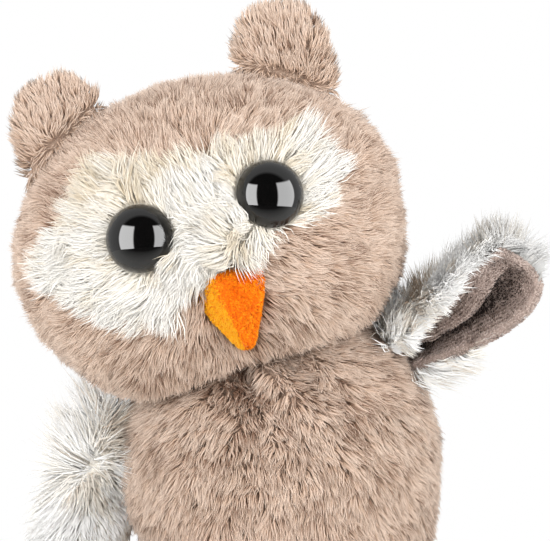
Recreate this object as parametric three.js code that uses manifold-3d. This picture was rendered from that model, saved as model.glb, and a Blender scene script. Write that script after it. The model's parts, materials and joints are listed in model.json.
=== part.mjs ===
// A stuffed plush owl, about 17 cm tall, that sits on its weighted base with its head tilted,
// one wing raised and the other hanging. Millimetres, +Z up, facing -Y, with the origin on the
// floor under the middle of the body. Left and right are the owl's own, so left is +X.
import * as THREE from 'three';
import { mergeVertices } from 'three/addons/utils/BufferGeometryUtils.js';
import Module from 'manifold-3d';

const wasm = await Module();
wasm.setup();

// ---- Driving dimensions ----

// Cloth and clearances. A plush wall is its knitted backing with the pile that stands on it.
const PLUSH_WALL = 4.5;
const BACKING = 1.5;
const VELOUR_WALL = 1.4;
const SEAM_GAP = 0.4;
const FIT_GAP = 0.35;
const MERGE_DISTANCE = 0.001;
const CUT_REACH = 120;

// Body: a ball on top, so that the head can ride on it, and a bell below.
const BODY_RADIUS = 43.5;
const BALL_HEIGHT = 49;
const BASE_RADIUS = 27;
const BASE_EDGE = 3;
const BELL_POWER = 1.9;
const BASE_WALL = 4;
const POUCH_RADIUS = 19;
const POUCH_HEIGHT = 24;

// Neck: every surface between head and body is round about the ball's centre.
const NECK_OPENING = 17;
const CORE_RADIUS = 8;
const CORE_INNER = 30;
const CORE_OUTER = 57;
const CORE_SLACK = 1;
const NECK_BAND_WALL = 1.6;
const NECK_BAND_WIDTH = 5;
const HEAD_ROLL = -19;
const HEAD_YAW = 3;

// Head, measured from the ball's centre along the neck.
const HEAD_WIDTH = 103;
const HEAD_DEPTH = 88;
const HEAD_HEIGHT = 82;
const HEAD_RISE = 65;
const HEAD_FORWARD = 8;
const CROWN_POWER = 2;
const JAW_POWER = 2.8;
const CHEEK_REACH = 20;
const CHEEK_SPREAD = 46;
const CHEEK_DROP = 34;
const LEFT_CHEEK_SWELL = 2;
const RIGHT_CHEEK_SWELL = 6;
const CHIN_CREASE = 3;
const CHIN_CREASE_WIDTH = 7;
const GUSSET_WIDTH = 46;
const GUSSET_SEAM_BACK = 14;

// Face.
const FACE_SHIFT = 0;
const MASK_WIDTH = 88;
const MASK_HEIGHT = 56;
const MASK_SHIFT = -5.4;
const MASK_RISE = 5.3;
const EYE_SPACING = 35;
const EYE_RISE = 4;
const EYE_RADIUS = 9;
const EYE_DOME = 8.2;
const EYE_RIM = 1.2;
const EYE_TOE_OUT = 15;
const EYE_LOOK_UP = 5;
const SHANK_RADIUS = 2.4;
const SHANK_LENGTH = 13;
const SHANK_RIB = 0.35;
const SHANK_RIB_PITCH = 3;
const WASHER_RADIUS = 6.5;
const WASHER_WALL = 1.3;
const WASHER_COLLAR = 4.2;
const WASHER_COLLAR_WALL = 1.2;
const WASHER_PETALS = 6;
const WASHER_SLIT = 0.8;
const WASHER_SLACK = 1.6;
const BEAK_WIDTH = 16;
const BEAK_DEPTH = 15;
const BEAK_HEIGHT = 21;
const BEAK_DROP = 21.5;
const BEAK_SLANT = 4;

// Ears.
const EAR_SPACING = 61.5;
const EAR_SHIFT = 3.6;
const EAR_WIDTH = 28;
const EAR_DEPTH = 15;
const EAR_HEIGHT = 42;
const EAR_TOP = 54;
const EAR_SQUARENESS = 2.7;
const EAR_WALL = 3.2;
const LEFT_EAR_SPLAY = 8;
const RIGHT_EAR_SPLAY = 0;
const EAR_SWING = 12;

// Wings: a leaf of shaggy plush lined with velour, cupped along its length.
const WING_LENGTH = 50;
const WING_HALF_WIDTH = 16;
const WING_ROOT_HALF_WIDTH = 10;
const WING_CUP_RADIUS = 10;
const WING_ROOT_CUP_RADIUS = 4;
const WING_WALL = 4.2;
const WING_LINING = 1.3;
const WING_HEM = 1.6;
const WING_DROOP = 7;
const WING_SWINGS = { left: [-50, -25, 0, 10], right: [-5, 0, 30, 60] };

// Feet: three toes and an instep, sewn to the front of the base.
const FOOT_TOE_LENGTH = 29;
const FOOT_TOE_WIDTH = 10.5;
const FOOT_HEIGHT = 9;
const FOOT_SPLAY = 21;
const FOOT_SPACING = 33;
const FOOT_HEEL = 22;
const FOOT_LIFT = 20;

// How finely the round forms are divided.
const HEAD_COLUMNS = 28;
const HEAD_ROWS = 16;
const CORE_COLUMNS = 20;
const CORE_ROWS = 10;
const BODY_COLUMNS = 28;
const BODY_ROWS = 8;
const SMALL_COLUMNS = 14;
const SMALL_ROWS = 7;
const EYE_COLUMNS = 16;
const TOE_COLUMNS = 7;
const TOE_ROWS = 5;
const WING_COLUMNS = 8;
const WING_ROWS = 9;

// ---- Materials ----

const cloth = (colour) => new THREE.MeshStandardMaterial({ color: colour, roughness: 0.95, metalness: 0 });
const taupePlush = cloth(0xb39c8a);
const whitePlush = cloth(0xf1ede4);
const greyVelour = cloth(0x86766e);
const orangeVelour = cloth(0xf58220);
const fibre = cloth(0xf4f2ec);
const cotton = cloth(0xe8e2d4);
const blackPlastic = new THREE.MeshStandardMaterial({ color: 0x0b0a0a, roughness: 0.06, metalness: 0 });
const washerPlastic = new THREE.MeshStandardMaterial({ color: 0xd9d7d2, roughness: 0.5, metalness: 0 });

// ---- Helpers ----

const radians = THREE.MathUtils.degToRad;
const X_AXIS = new THREE.Vector3(1, 0, 0);
const Y_AXIS = new THREE.Vector3(0, 1, 0);
const Z_AXIS = new THREE.Vector3(0, 0, 1);

// A closed geometry as a solid that can be cut and joined.
function solidOf(geometry) {
  const bare = geometry.index ? geometry.toNonIndexed() : geometry.clone();
  bare.deleteAttribute('normal');
  bare.deleteAttribute('uv');
  const merged = mergeVertices(bare, MERGE_DISTANCE);
  return new wasm.Manifold(new wasm.Mesh({
    numProp: 3,
    vertProperties: merged.attributes.position.array,
    triVerts: new Uint32Array(merged.index.array),
  }));
}

// A named mesh from a solid.
function meshOf(name, solid, material) {
  const { numProp, vertProperties, triVerts } = solid.getMesh();
  const points = [];
  for (let i = 0; i < vertProperties.length; i += numProp) {
    points.push(vertProperties[i], vertProperties[i + 1], vertProperties[i + 2]);
  }
  const geometry = new THREE.BufferGeometry();
  geometry.setAttribute('position', new THREE.Float32BufferAttribute(points, 3));
  geometry.setIndex([...triVerts]);
  const mesh = new THREE.Mesh(geometry, material);
  mesh.name = name;
  return mesh;
}

// A geometry moved by a position, and turned by angles in degrees about X, then Y, then Z of its own.
function placed(geometry, position, angles = [0, 0, 0]) {
  const turn = new THREE.Quaternion().setFromEuler(new THREE.Euler(...angles.map(radians)));
  return geometry.applyQuaternion(turn).translate(...position);
}

const ball = (radius, centre = [0, 0, 0], columns = CORE_COLUMNS, rows = CORE_ROWS) =>
  solidOf(placed(new THREE.SphereGeometry(radius, columns, rows).rotateX(Math.PI / 2), centre));

// A box from its lowest to its highest corner.
function box(low, high) {
  const size = high.map((h, i) => h - low[i]);
  return solidOf(placed(new THREE.BoxGeometry(...size), high.map((h, i) => (h + low[i]) / 2)));
}

// A cylinder along Z between two heights.
const post = (radius, low, high, columns = CORE_COLUMNS) =>
  solidOf(placed(
    new THREE.CylinderGeometry(radius, radius, high - low, columns).rotateX(Math.PI / 2),
    [0, 0, (low + high) / 2],
  ));

// A solid of revolution about Z. The profile's points are (radius, height).
const revolve = (profile, columns) =>
  solidOf(new THREE.LatheGeometry(profile.map(([r, z]) => new THREE.Vector2(r, z)), columns).rotateX(Math.PI / 2));

// A unit sphere whose every point goes where `place` puts it.
function swollen(columns, rows, place) {
  const geometry = new THREE.SphereGeometry(1, columns, rows).rotateX(Math.PI / 2);
  const points = geometry.attributes.position;
  const point = new THREE.Vector3();
  for (let i = 0; i < points.count; i += 1) {
    points.setXYZ(i, ...place(point.fromBufferAttribute(points, i)).toArray());
  }
  return solidOf(geometry);
}

// A solid moved as if `hinge` had turned it by an angle in degrees about an axis.
function turnedAbout(solid, hinge, axis, angle) {
  const there = new THREE.Matrix4().makeTranslation(...hinge);
  const turn = new THREE.Matrix4().makeRotationAxis(axis, radians(angle));
  const back = new THREE.Matrix4().makeTranslation(...hinge.map((h) => -h));
  return solid.transform(there.multiply(turn).multiply(back).elements);
}

// What is left of a soft piece when it stays clear of its neighbour through a swing about a hinge.
function clearOf(solid, neighbour, hinge, axis, angles) {
  return angles.reduce((left, angle) => left.subtract(turnedAbout(neighbour, hinge, axis, -angle)), solid);
}

// A power of a number that keeps its sign.
const signedPower = (value, power) => Math.sign(value) * Math.abs(value) ** power;

// ---- Body ----

const neckAxis = Z_AXIS.clone().applyAxisAngle(Y_AXIS, radians(HEAD_ROLL));

// A piece made along Z at the ball's centre, turned to lie along the neck, in the body's frame.
const alongNeck = (solid) =>
  solid.transform(new THREE.Matrix4().makeTranslation(0, 0, BALL_HEIGHT)
    .multiply(new THREE.Matrix4().makeRotationAxis(Y_AXIS, radians(HEAD_ROLL))).elements);

// The body's outline from the top of the ball down to the base, drawn in by an inset.
function bodyProfile(inset, rows) {
  const radius = BODY_RADIUS - inset;
  const foot = BASE_RADIUS - inset;
  const points = [];
  for (let i = 0; i <= rows; i += 1) {
    const turn = (Math.PI / 2) * (i / rows);
    points.push([radius * Math.sin(turn), BALL_HEIGHT + radius * Math.cos(turn)]);
  }
  for (let i = 1; i <= rows; i += 1) {
    const share = i / rows;
    const drop = share * (BALL_HEIGHT - BASE_EDGE);
    points.push([radius - (radius - foot) * share ** BELL_POWER, BALL_HEIGHT - drop]);
  }
  return points;
}

const onAxis = ([, height]) => [0, height];

// The whole outside of the body, grown or drawn in, down to its rounded bottom edge.
function bodySolid(inset, columns, rows) {
  const side = bodyProfile(inset, rows);
  side[0] = onAxis(side[0]);
  const foot = BASE_RADIUS - inset;
  side.push([foot - BASE_EDGE, 0], [0, 0]);
  return revolve(side.reverse(), columns);
}

function pouchProfile(grow) {
  const radius = POUCH_RADIUS + grow;
  const low = BASE_WALL + FIT_GAP;
  const height = POUCH_HEIGHT + grow;
  const edgeShares = [[0.8, 0], [1, 0.3], [1, 0.62], [0.72, 0.9], [0.35, 0.98]];
  return [[0, low], ...edgeShares.map(([r, z]) => [r * radius, low + z * height]), [0, low + height]];
}

function buildBody(group) {
  const neckHole = alongNeck(post(NECK_OPENING, CORE_INNER, BODY_RADIUS + PLUSH_WALL));
  const inside = bodySolid(PLUSH_WALL, CORE_COLUMNS, BODY_ROWS - 3)
    .add(post(BASE_RADIUS - BASE_EDGE, -BASE_EDGE, BASE_WALL + PLUSH_WALL, BODY_COLUMNS));
  const skin = bodySolid(0, BODY_COLUMNS, BODY_ROWS).subtract(inside).subtract(neckHole);
  const half = SEAM_GAP / 2;
  const sides = [
    ['body_front_panel', [-CUT_REACH, -CUT_REACH, -CUT_REACH], [CUT_REACH, -half, CUT_REACH]],
    ['body_back_panel_left', [half, half, -CUT_REACH], [CUT_REACH, CUT_REACH, CUT_REACH]],
    ['body_back_panel_right', [-CUT_REACH, half, -CUT_REACH], [-half, CUT_REACH, CUT_REACH]],
  ];
  sides.forEach(([name, low, high]) => group.add(meshOf(name, skin.intersect(box(low, high)), taupePlush)));

  const base = BASE_RADIUS - BASE_EDGE - FIT_GAP;
  const rim = BASE_WALL / 2;
  const basePanel = revolve(
    [[0, 0], [base - rim / 2, 0], [base, rim / 2], [base, BASE_WALL - rim / 2], [base - rim / 2, BASE_WALL], [0, BASE_WALL]],
    BODY_COLUMNS,
  );
  group.add(meshOf('base_panel', basePanel, taupePlush));

  const coreRoom = alongNeck(post(NECK_OPENING, 0, CUT_REACH).subtract(ball(CORE_INNER - FIT_GAP)));
  const pouchRoom = revolve(pouchProfile(FIT_GAP), CORE_COLUMNS).add(post(POUCH_RADIUS, -CUT_REACH, BASE_WALL + BASE_EDGE));
  const stuffing = bodySolid(PLUSH_WALL + FIT_GAP, CORE_COLUMNS, BODY_ROWS - 3)
    .subtract(coreRoom)
    .subtract(pouchRoom)
    .subtract(post(CUT_REACH, -CUT_REACH, BASE_WALL + FIT_GAP));
  group.add(meshOf('body_stuffing', stuffing, fibre));
  group.add(meshOf('pellet_pouch', revolve(pouchProfile(0), CORE_COLUMNS), cotton));
}

// ---- Neck ----

// The rolled core that keeps the head up, and the seam band where head and body are sewn together.
function buildNeck(group) {
  const core = post(CORE_RADIUS, 0, CUT_REACH, SMALL_COLUMNS)
    .intersect(ball(CORE_OUTER))
    .subtract(ball(CORE_INNER));
  group.add(meshOf('neck_core', alongNeck(core), fibre));
  const inner = BODY_RADIUS + FIT_GAP;
  const band = post(NECK_OPENING + NECK_BAND_WIDTH, 0, CUT_REACH)
    .subtract(post(NECK_OPENING, 0, CUT_REACH))
    .intersect(ball(inner + NECK_BAND_WALL, [0, 0, 0], BODY_COLUMNS, HEAD_ROWS))
    .subtract(ball(inner, [0, 0, 0], BODY_COLUMNS, HEAD_ROWS));
  group.add(meshOf('neck_seam_band', alongNeck(band), taupePlush));
}

// ---- Head ----

const SOCKET_RADIUS = BODY_RADIUS + NECK_BAND_WALL + 2 * FIT_GAP;
const headCentre = [0, -HEAD_FORWARD, HEAD_RISE];

// How far the head's half sizes reach with an inset.
const headHalves = (inset) => [HEAD_WIDTH / 2 - inset, HEAD_DEPTH / 2 - inset, HEAD_HEIGHT / 2 - inset];

// The head's width at a share of its height, as a share of its full width.
const headTaper = (heightShare) => {
  const power = heightShare > 0 ? CROWN_POWER : JAW_POWER;
  return Math.max(0, 1 - Math.abs(heightShare) ** power) ** (1 / power);
};

// The front of the head's plain form at a place across and up from its centre.
function faceDepth(across, up, inset = 0) {
  const [halfWidth, halfDepth, halfHeight] = headHalves(inset);
  return -HEAD_FORWARD - halfDepth * Math.sqrt(headTaper(up / halfHeight) ** 2 - (across / halfWidth) ** 2);
}

const cheeks = [[1, LEFT_CHEEK_SWELL], [-1, RIGHT_CHEEK_SWELL]].map(([side, swell]) => ({
  swell,
  centre: new THREE.Vector3(
    (side * CHEEK_SPREAD) / 2,
    faceDepth(CHEEK_SPREAD / 2, -CHEEK_DROP),
    HEAD_RISE - CHEEK_DROP,
  ),
}));

// One point of the head: a round crown, a fuller jaw, two swollen cheeks and a crease under the beak.
function headPoint(unit, inset) {
  const [halfWidth, halfDepth, halfHeight] = headHalves(inset);
  const power = unit.z > 0 ? CROWN_POWER : JAW_POWER;
  const around = Math.hypot(unit.x, unit.y);
  const spread = around ** (2 / power) / Math.max(around, Number.EPSILON);
  const point = new THREE.Vector3(
    halfWidth * unit.x * spread,
    halfDepth * unit.y * spread - HEAD_FORWARD,
    halfHeight * signedPower(unit.z, 2 / power) + HEAD_RISE,
  );
  const outward = point.clone().sub(new THREE.Vector3(...headCentre)).normalize();
  cheeks.forEach(({ swell, centre }) => {
    const near = Math.exp(-(point.distanceTo(centre) ** 2) / CHEEK_REACH ** 2);
    point.addScaledVector(outward, swell * near);
  });
  const front = Math.max(0, -unit.y) * Math.max(0, -unit.z) * 2;
  const crease = Math.exp(-((point.x - FACE_SHIFT) ** 2) / CHIN_CREASE_WIDTH ** 2);
  return point.addScaledVector(outward, -CHIN_CREASE * front * crease);
}

const headSolid = (inset, columns, rows) => swollen(columns, rows, (unit) => headPoint(unit, inset));

// The white mask's outline, as shares of its half width and half height, clockwise from its top middle.
const maskShares = [
  [-0.4, 0.98], [-0.18, 0.84], [0.21, 0.58], [0.6, 0.57], [0.92, 0.44], [1, -0.15], [0.8, -0.58],
  [0.48, -0.64], [0.28, -0.8], [-0.04, -0.78], [-0.23, -0.94], [-0.46, -1], [-0.75, -0.74],
  [-0.94, -0.34], [-0.99, -0.08], [-0.86, 0.26], [-0.73, 0.58], [-0.56, 0.85],
];

// The mask's outline pushed through the front of the head, grown by a seam.
function maskCutter(grow) {
  const across = MASK_WIDTH / 2 + grow;
  const up = MASK_HEIGHT / 2 + grow;
  const outline = new THREE.CatmullRomCurve3(
    maskShares.map(([x, z]) => new THREE.Vector3(MASK_SHIFT + x * across, HEAD_RISE + MASK_RISE + z * up, 0)),
    true,
  );
  const points = outline.getPoints(2 * maskShares.length).slice(0, -1);
  const shape = new THREE.Shape(points.map((point) => new THREE.Vector2(point.x, point.y)));
  const geometry = new THREE.ExtrudeGeometry(shape, { depth: CUT_REACH, bevelEnabled: false }).rotateX(Math.PI / 2);
  return solidOf(placed(geometry, [0, -HEAD_FORWARD, 0])).subtract(ball(SOCKET_RADIUS + PLUSH_WALL + SEAM_GAP - grow));
}

// Where each eye sits on the backing, and which way it looks.
const eyes = [['left', 1], ['right', -1]].map(([side, sign]) => {
  const across = (sign * EYE_SPACING) / 2 + FACE_SHIFT;
  return {
    side,
    seat: [across, faceDepth(across, EYE_RISE, PLUSH_WALL - BACKING), HEAD_RISE + EYE_RISE],
    angles: [90 - EYE_LOOK_UP, 0, sign * EYE_TOE_OUT],
  };
});

// A solid made along Z, whose +Z comes to point out of the face at an eye's seat.
function atEye(solid, eye) {
  const [tip, , toe] = eye.angles;
  const turn = new THREE.Matrix4().makeRotationAxis(Z_AXIS, radians(toe))
    .multiply(new THREE.Matrix4().makeRotationAxis(X_AXIS, radians(tip)));
  return solid.transform(new THREE.Matrix4().makeTranslation(...eye.seat).multiply(turn).elements);
}

// How far a flat washer stands off the inside of the curved wall so that its rim clears it.
const washerSeat = BACKING + WASHER_SLACK + WASHER_RADIUS ** 2 / HEAD_HEIGHT;

// A glossy domed safety eye in one piece with its ribbed shank.
function eyeSolid() {
  const dome = [];
  const steps = EYE_COLUMNS / 4 + 1;
  for (let i = 0; i <= steps; i += 1) {
    const turn = (Math.PI / 2) * (i / steps);
    dome.push([EYE_RADIUS * Math.cos(turn), FIT_GAP + EYE_RIM + (EYE_DOME - EYE_RIM) * Math.sin(turn)]);
  }
  dome[steps][0] = 0;
  const shank = [];
  const ribs = Math.floor((SHANK_LENGTH - SHANK_RADIUS) / SHANK_RIB_PITCH);
  for (let i = 0; i < ribs; i += 1) {
    const depth = -i * SHANK_RIB_PITCH;
    shank.push([SHANK_RADIUS, depth], [SHANK_RADIUS + SHANK_RIB, depth - SHANK_RIB_PITCH / 4]);
    shank.push([SHANK_RADIUS, depth - SHANK_RIB_PITCH / 2]);
  }
  const profile = [[0, -SHANK_LENGTH], [SHANK_RADIUS / 2, -SHANK_LENGTH], ...shank.reverse()];
  return revolve([...profile, [EYE_RADIUS - EYE_RIM, FIT_GAP], ...dome], EYE_COLUMNS);
}

// The star-lock washer that grips the shank behind the cloth: a disc, a collar and slit petals.
function washerSolid() {
  const bore = SHANK_RADIUS + SHANK_RIB + FIT_GAP / 2;
  const profile = [
    [bore, 0], [WASHER_RADIUS, 0], [WASHER_RADIUS, -WASHER_WALL], [WASHER_COLLAR, -WASHER_WALL],
    [WASHER_COLLAR, -WASHER_WALL - WASHER_COLLAR_WALL], [bore, -WASHER_WALL - WASHER_COLLAR_WALL], [bore, 0],
  ];
  const ring = revolve(profile.reverse(), EYE_COLUMNS);
  let slits = box([0, -WASHER_SLIT / 2, -CUT_REACH], [WASHER_COLLAR - WASHER_SLIT / 2, WASHER_SLIT / 2, CUT_REACH]);
  const one = slits;
  for (let i = 1; i < WASHER_PETALS; i += 1) {
    slits = slits.add(one.rotate([0, 0, (360 * i) / WASHER_PETALS]));
  }
  return ring.subtract(slits).translate([0, 0, -washerSeat]);
}

// The beak: a plump cone that hangs over the chin, with a soft ridge down its front.
function beakSolid(inset) {
  const halves = [BEAK_WIDTH / 2 - inset, BEAK_DEPTH / 2 - inset, BEAK_HEIGHT / 2 - inset];
  const tipShare = 0.42;
  const ridgeShare = 0.22;
  const hookShare = 0.25;
  const cone = swollen(SMALL_COLUMNS + 2, SMALL_ROWS + 2, (unit) => {
    const height = signedPower(unit.z, 0.8);
    const taper = THREE.MathUtils.lerp(tipShare, 1, THREE.MathUtils.smootherstep(height, -1.3, 0.9)) + tipShare / 2;
    const ridge = 1 + ridgeShare * Math.max(0, -unit.y) ** 3;
    return new THREE.Vector3(
      halves[0] * unit.x * taper,
      halves[1] * (unit.y * taper * ridge + hookShare * height),
      halves[2] * height,
    );
  });
  const slant = new THREE.Matrix4().makeRotationAxis(Y_AXIS, radians(BEAK_SLANT));
  const root = new THREE.Matrix4().makeTranslation(FACE_SHIFT, faceDepth(0, -BEAK_DROP), HEAD_RISE - BEAK_DROP);
  return cone.transform(root.multiply(slant).elements);
}

function buildHead(group) {
  const outside = headSolid(0, HEAD_COLUMNS, HEAD_ROWS);
  const grown = headSolid(-FIT_GAP, HEAD_COLUMNS, HEAD_ROWS);
  const socket = ball(SOCKET_RADIUS, [0, 0, 0], BODY_COLUMNS, HEAD_ROWS);
  const neckHole = post(NECK_OPENING, SOCKET_RADIUS - PLUSH_WALL, CORE_OUTER);
  const inside = headSolid(PLUSH_WALL, CORE_COLUMNS, CORE_ROWS).subtract(ball(SOCKET_RADIUS + PLUSH_WALL));
  const skin = outside.subtract(socket).subtract(inside).subtract(neckHole);

  // The white mask, in two halves that meet between the eyes.
  const eyeWells = eyes.map((eye) => atEye(
    post(EYE_RADIUS + FIT_GAP, 0, CUT_REACH, EYE_COLUMNS)
      .add(post(SHANK_RADIUS + SHANK_RIB + FIT_GAP, -BACKING * 2, 0, EYE_COLUMNS)),
    eye,
  ));
  const half = SEAM_GAP / 2;
  const mask = eyeWells.reduce((left, well) => left.subtract(well), skin.intersect(maskCutter(0)));
  const leftSide = box([FACE_SHIFT + half, -CUT_REACH, -CUT_REACH], [CUT_REACH, CUT_REACH, CUT_REACH]);
  const rightSide = box([-CUT_REACH, -CUT_REACH, -CUT_REACH], [FACE_SHIFT - half, CUT_REACH, CUT_REACH]);
  group.add(meshOf('face_mask_left', mask.intersect(leftSide), whitePlush));
  group.add(meshOf('face_mask_right', mask.intersect(rightSide), whitePlush));

  // The taupe panels: a gusset from brow to nape between the ears, and a cheek on each side.
  const taupe = skin.subtract(maskCutter(SEAM_GAP));
  const edge = GUSSET_WIDTH / 2;
  const gusset = (grow) => box([-edge - grow, -CUT_REACH, HEAD_RISE - grow], [edge + grow, CUT_REACH, CUT_REACH])
    .add(box([-edge - grow, -grow, -CUT_REACH], [edge + grow, CUT_REACH, CUT_REACH]));
  const seam = GUSSET_SEAM_BACK;
  const strip = taupe.intersect(gusset(-half));
  const frontOfSeam = box([-CUT_REACH, -CUT_REACH, -CUT_REACH], [CUT_REACH, seam - half, CUT_REACH])
    .intersect(box([-CUT_REACH, -CUT_REACH, HEAD_RISE], [CUT_REACH, CUT_REACH, CUT_REACH]));
  const behindSeam = box([-CUT_REACH, seam + half, -CUT_REACH], [CUT_REACH, CUT_REACH, CUT_REACH]);
  const sides = taupe.subtract(gusset(half));
  group.add(meshOf('head_crown_panel', strip.intersect(frontOfSeam), taupePlush));
  group.add(meshOf('head_back_panel', strip.intersect(behindSeam), taupePlush));
  group.add(meshOf('cheek_panel_left', sides.intersect(leftSide), taupePlush));
  group.add(meshOf('cheek_panel_right', sides.intersect(rightSide), taupePlush));

  // The stuffing, with room for the neck core and for the eyes' shanks and washers.
  const coreRoom = post(NECK_OPENING + FIT_GAP, 0, CUT_REACH).intersect(ball(CORE_OUTER + CORE_SLACK));
  const washerRoom = eyes.map((eye) => atEye(
    post(WASHER_RADIUS + FIT_GAP, -washerSeat - WASHER_WALL - WASHER_COLLAR_WALL - FIT_GAP, CUT_REACH, EYE_COLUMNS)
      .add(post(SHANK_RADIUS + SHANK_RIB + FIT_GAP, -SHANK_LENGTH - FIT_GAP, 0, EYE_COLUMNS)),
    eye,
  ));
  const stuffing = [coreRoom, ...washerRoom].reduce(
    (left, room) => left.subtract(room),
    headSolid(PLUSH_WALL + FIT_GAP, CORE_COLUMNS, CORE_ROWS).subtract(ball(SOCKET_RADIUS + PLUSH_WALL + FIT_GAP)),
  );
  group.add(meshOf('head_stuffing', stuffing, fibre));

  eyes.forEach((eye) => {
    group.add(meshOf(`${eye.side}_eye`, atEye(eyeSolid(), eye), blackPlastic));
    group.add(meshOf(`${eye.side}_eye_washer`, atEye(washerSolid(), eye), washerPlastic));
  });

  group.add(meshOf('beak_skin', beakSolid(0).subtract(beakSolid(VELOUR_WALL)).subtract(grown), orangeVelour));
  group.add(meshOf('beak_stuffing', beakSolid(VELOUR_WALL + FIT_GAP).subtract(grown), fibre));
  return grown;
}

// ---- Ears ----

// A rounded tab, open where it is sewn down, that stays clear of the head as it bends.
function buildEar(head, headGrown, side, sign, splay) {
  const across = (sign * EAR_SPACING) / 2 + EAR_SHIFT;
  const [halfWidth, , halfHeight] = headHalves(0);
  const hinge = [across, -HEAD_FORWARD, HEAD_RISE + halfHeight * Math.sqrt(1 - (across / halfWidth) ** 2)];
  const form = (inset) => swollen(SMALL_COLUMNS, SMALL_ROWS, (unit) => {
    const square = (Math.abs(unit.x) ** EAR_SQUARENESS + Math.abs(unit.z) ** EAR_SQUARENESS
      + Math.abs(unit.y) ** EAR_SQUARENESS) ** (-1 / EAR_SQUARENESS);
    return new THREE.Vector3(
      (EAR_WIDTH / 2 - inset) * unit.x * square,
      (EAR_DEPTH / 2 - inset) * unit.y,
      (EAR_HEIGHT / 2 - inset) * unit.z * square,
    );
  }).rotate([0, sign * splay, 0]).translate([across, -HEAD_FORWARD, HEAD_RISE + EAR_TOP - EAR_HEIGHT / 2]);
  const cut = (solid) => clearOf(solid, headGrown, hinge, X_AXIS, [-EAR_SWING, 0, EAR_SWING]);
  head.add(meshOf(`${side}_ear_skin`, cut(form(0).subtract(form(EAR_WALL))), taupePlush));
  head.add(meshOf(`${side}_ear_stuffing`, cut(form(EAR_WALL + FIT_GAP)), fibre));
}

// ---- Wings ----

// The wing's half width at a share of its length: a narrow root, a full blade and a round tip.
function wingHalfWidth(along) {
  const fullShare = 0.55;
  if (along < fullShare) {
    const rise = Math.sin((Math.PI / 2) * (along / fullShare));
    return THREE.MathUtils.lerp(WING_ROOT_HALF_WIDTH, WING_HALF_WIDTH, rise);
  }
  const past = (along - fullShare) / (1 - fullShare);
  return WING_HALF_WIDTH * Math.sqrt(Math.max(0, 1 - past ** 2));
}

// A point of the wing: along its length (0 to 1), across it (-1 to 1), at a height above the lining's face.
function wingPoint(along, across, height) {
  const radius = THREE.MathUtils.lerp(WING_ROOT_CUP_RADIUS, WING_CUP_RADIUS, Math.sin((Math.PI / 2) * along));
  const turn = (across * wingHalfWidth(along)) / radius;
  const droop = WING_DROOP * along ** 2;
  return new THREE.Vector3(
    WING_LENGTH * along,
    (radius + height) * Math.sin(turn),
    (radius + height) * Math.cos(turn) - radius - droop,
  );
}

// A cupped sheet between two heights, thinned to a hem at its edges.
function wingSheet(low, high, columns, rows) {
  const points = [];
  const lastShare = 0.985;
  for (let layer = 0; layer < 2; layer += 1) {
    for (let i = 0; i <= rows; i += 1) {
      for (let j = 0; j <= columns; j += 1) {
        const across = (2 * j) / columns - 1;
        const along = (lastShare * i) / rows;
        const edge = Math.max(Math.abs(across) ** 6, (along / lastShare) ** 8, (1 - along / lastShare) ** 8);
        const top = Math.max(low + (high - low) * (1 - edge), Math.min(high, low + WING_HEM / 2));
        points.push(...wingPoint(along, across, layer === 0 ? top : low).toArray());
      }
    }
  }
  const at = (layer, i, j) => layer * (rows + 1) * (columns + 1) + i * (columns + 1) + j;
  const faces = [];
  const quad = (a, b, c, d) => faces.push(a, b, c, a, c, d);
  for (let i = 0; i < rows; i += 1) {
    for (let j = 0; j < columns; j += 1) {
      quad(at(0, i, j), at(0, i + 1, j), at(0, i + 1, j + 1), at(0, i, j + 1));
      quad(at(1, i, j), at(1, i, j + 1), at(1, i + 1, j + 1), at(1, i + 1, j));
    }
    quad(at(0, i, 0), at(1, i, 0), at(1, i + 1, 0), at(0, i + 1, 0));
    quad(at(0, i + 1, columns), at(1, i + 1, columns), at(1, i, columns), at(0, i, columns));
  }
  for (let j = 0; j < columns; j += 1) {
    quad(at(0, 0, j), at(0, 0, j + 1), at(1, 0, j + 1), at(1, 0, j));
    quad(at(0, rows, j + 1), at(0, rows, j), at(1, rows, j), at(1, rows, j + 1));
  }
  const geometry = new THREE.BufferGeometry();
  geometry.setAttribute('position', new THREE.Float32BufferAttribute(points, 3));
  geometry.setIndex(faces);
  return solidOf(geometry);
}

// Where each wing is sewn on, as a direction from the ball's centre, and how it is held.
const wings = [
  { side: 'left', turn: -1, rootAzimuth: 2, rootElevation: 40, lift: 40, sweep: -33, twist: -46 },
  { side: 'right', turn: 1, rootAzimuth: 180, rootElevation: 16, lift: -60, sweep: 180, twist: -42 },
];

function buildWing(root, { side, turn, rootAzimuth, rootElevation, lift, sweep, twist }) {
  const wing = new THREE.Group();
  const reach = BODY_RADIUS + FIT_GAP;
  const out = new THREE.Vector3(reach, 0, 0)
    .applyAxisAngle(Y_AXIS, radians(-rootElevation))
    .applyAxisAngle(Z_AXIS, radians(rootAzimuth));
  wing.position.set(out.x, out.y, out.z + BALL_HEIGHT);
  wing.rotation.set(radians(twist), radians(-lift), radians(sweep), 'ZYX');
  wing.name = `${side}_wing_seam`;
  wing.updateMatrix();
  const here = wing.matrix.clone().invert();
  const bodyHere = bodySolid(-FIT_GAP, BODY_COLUMNS, BODY_ROWS).transform(here.elements);
  const hinge = Y_AXIS.clone().transformDirection(here);
  const cut = (solid) => clearOf(solid, bodyHere, [0, 0, 0], hinge, WING_SWINGS[side].map((swing) => turn * swing));
  wing.add(meshOf(`${side}_wing_cover`, cut(wingSheet(FIT_GAP, WING_WALL, WING_COLUMNS, WING_ROWS)), whitePlush));
  wing.add(meshOf(`${side}_wing_lining`, cut(wingSheet(-WING_LINING, 0, WING_COLUMNS, WING_ROWS)), greyVelour));
  root.add(wing);
}

// ---- Feet ----

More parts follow.
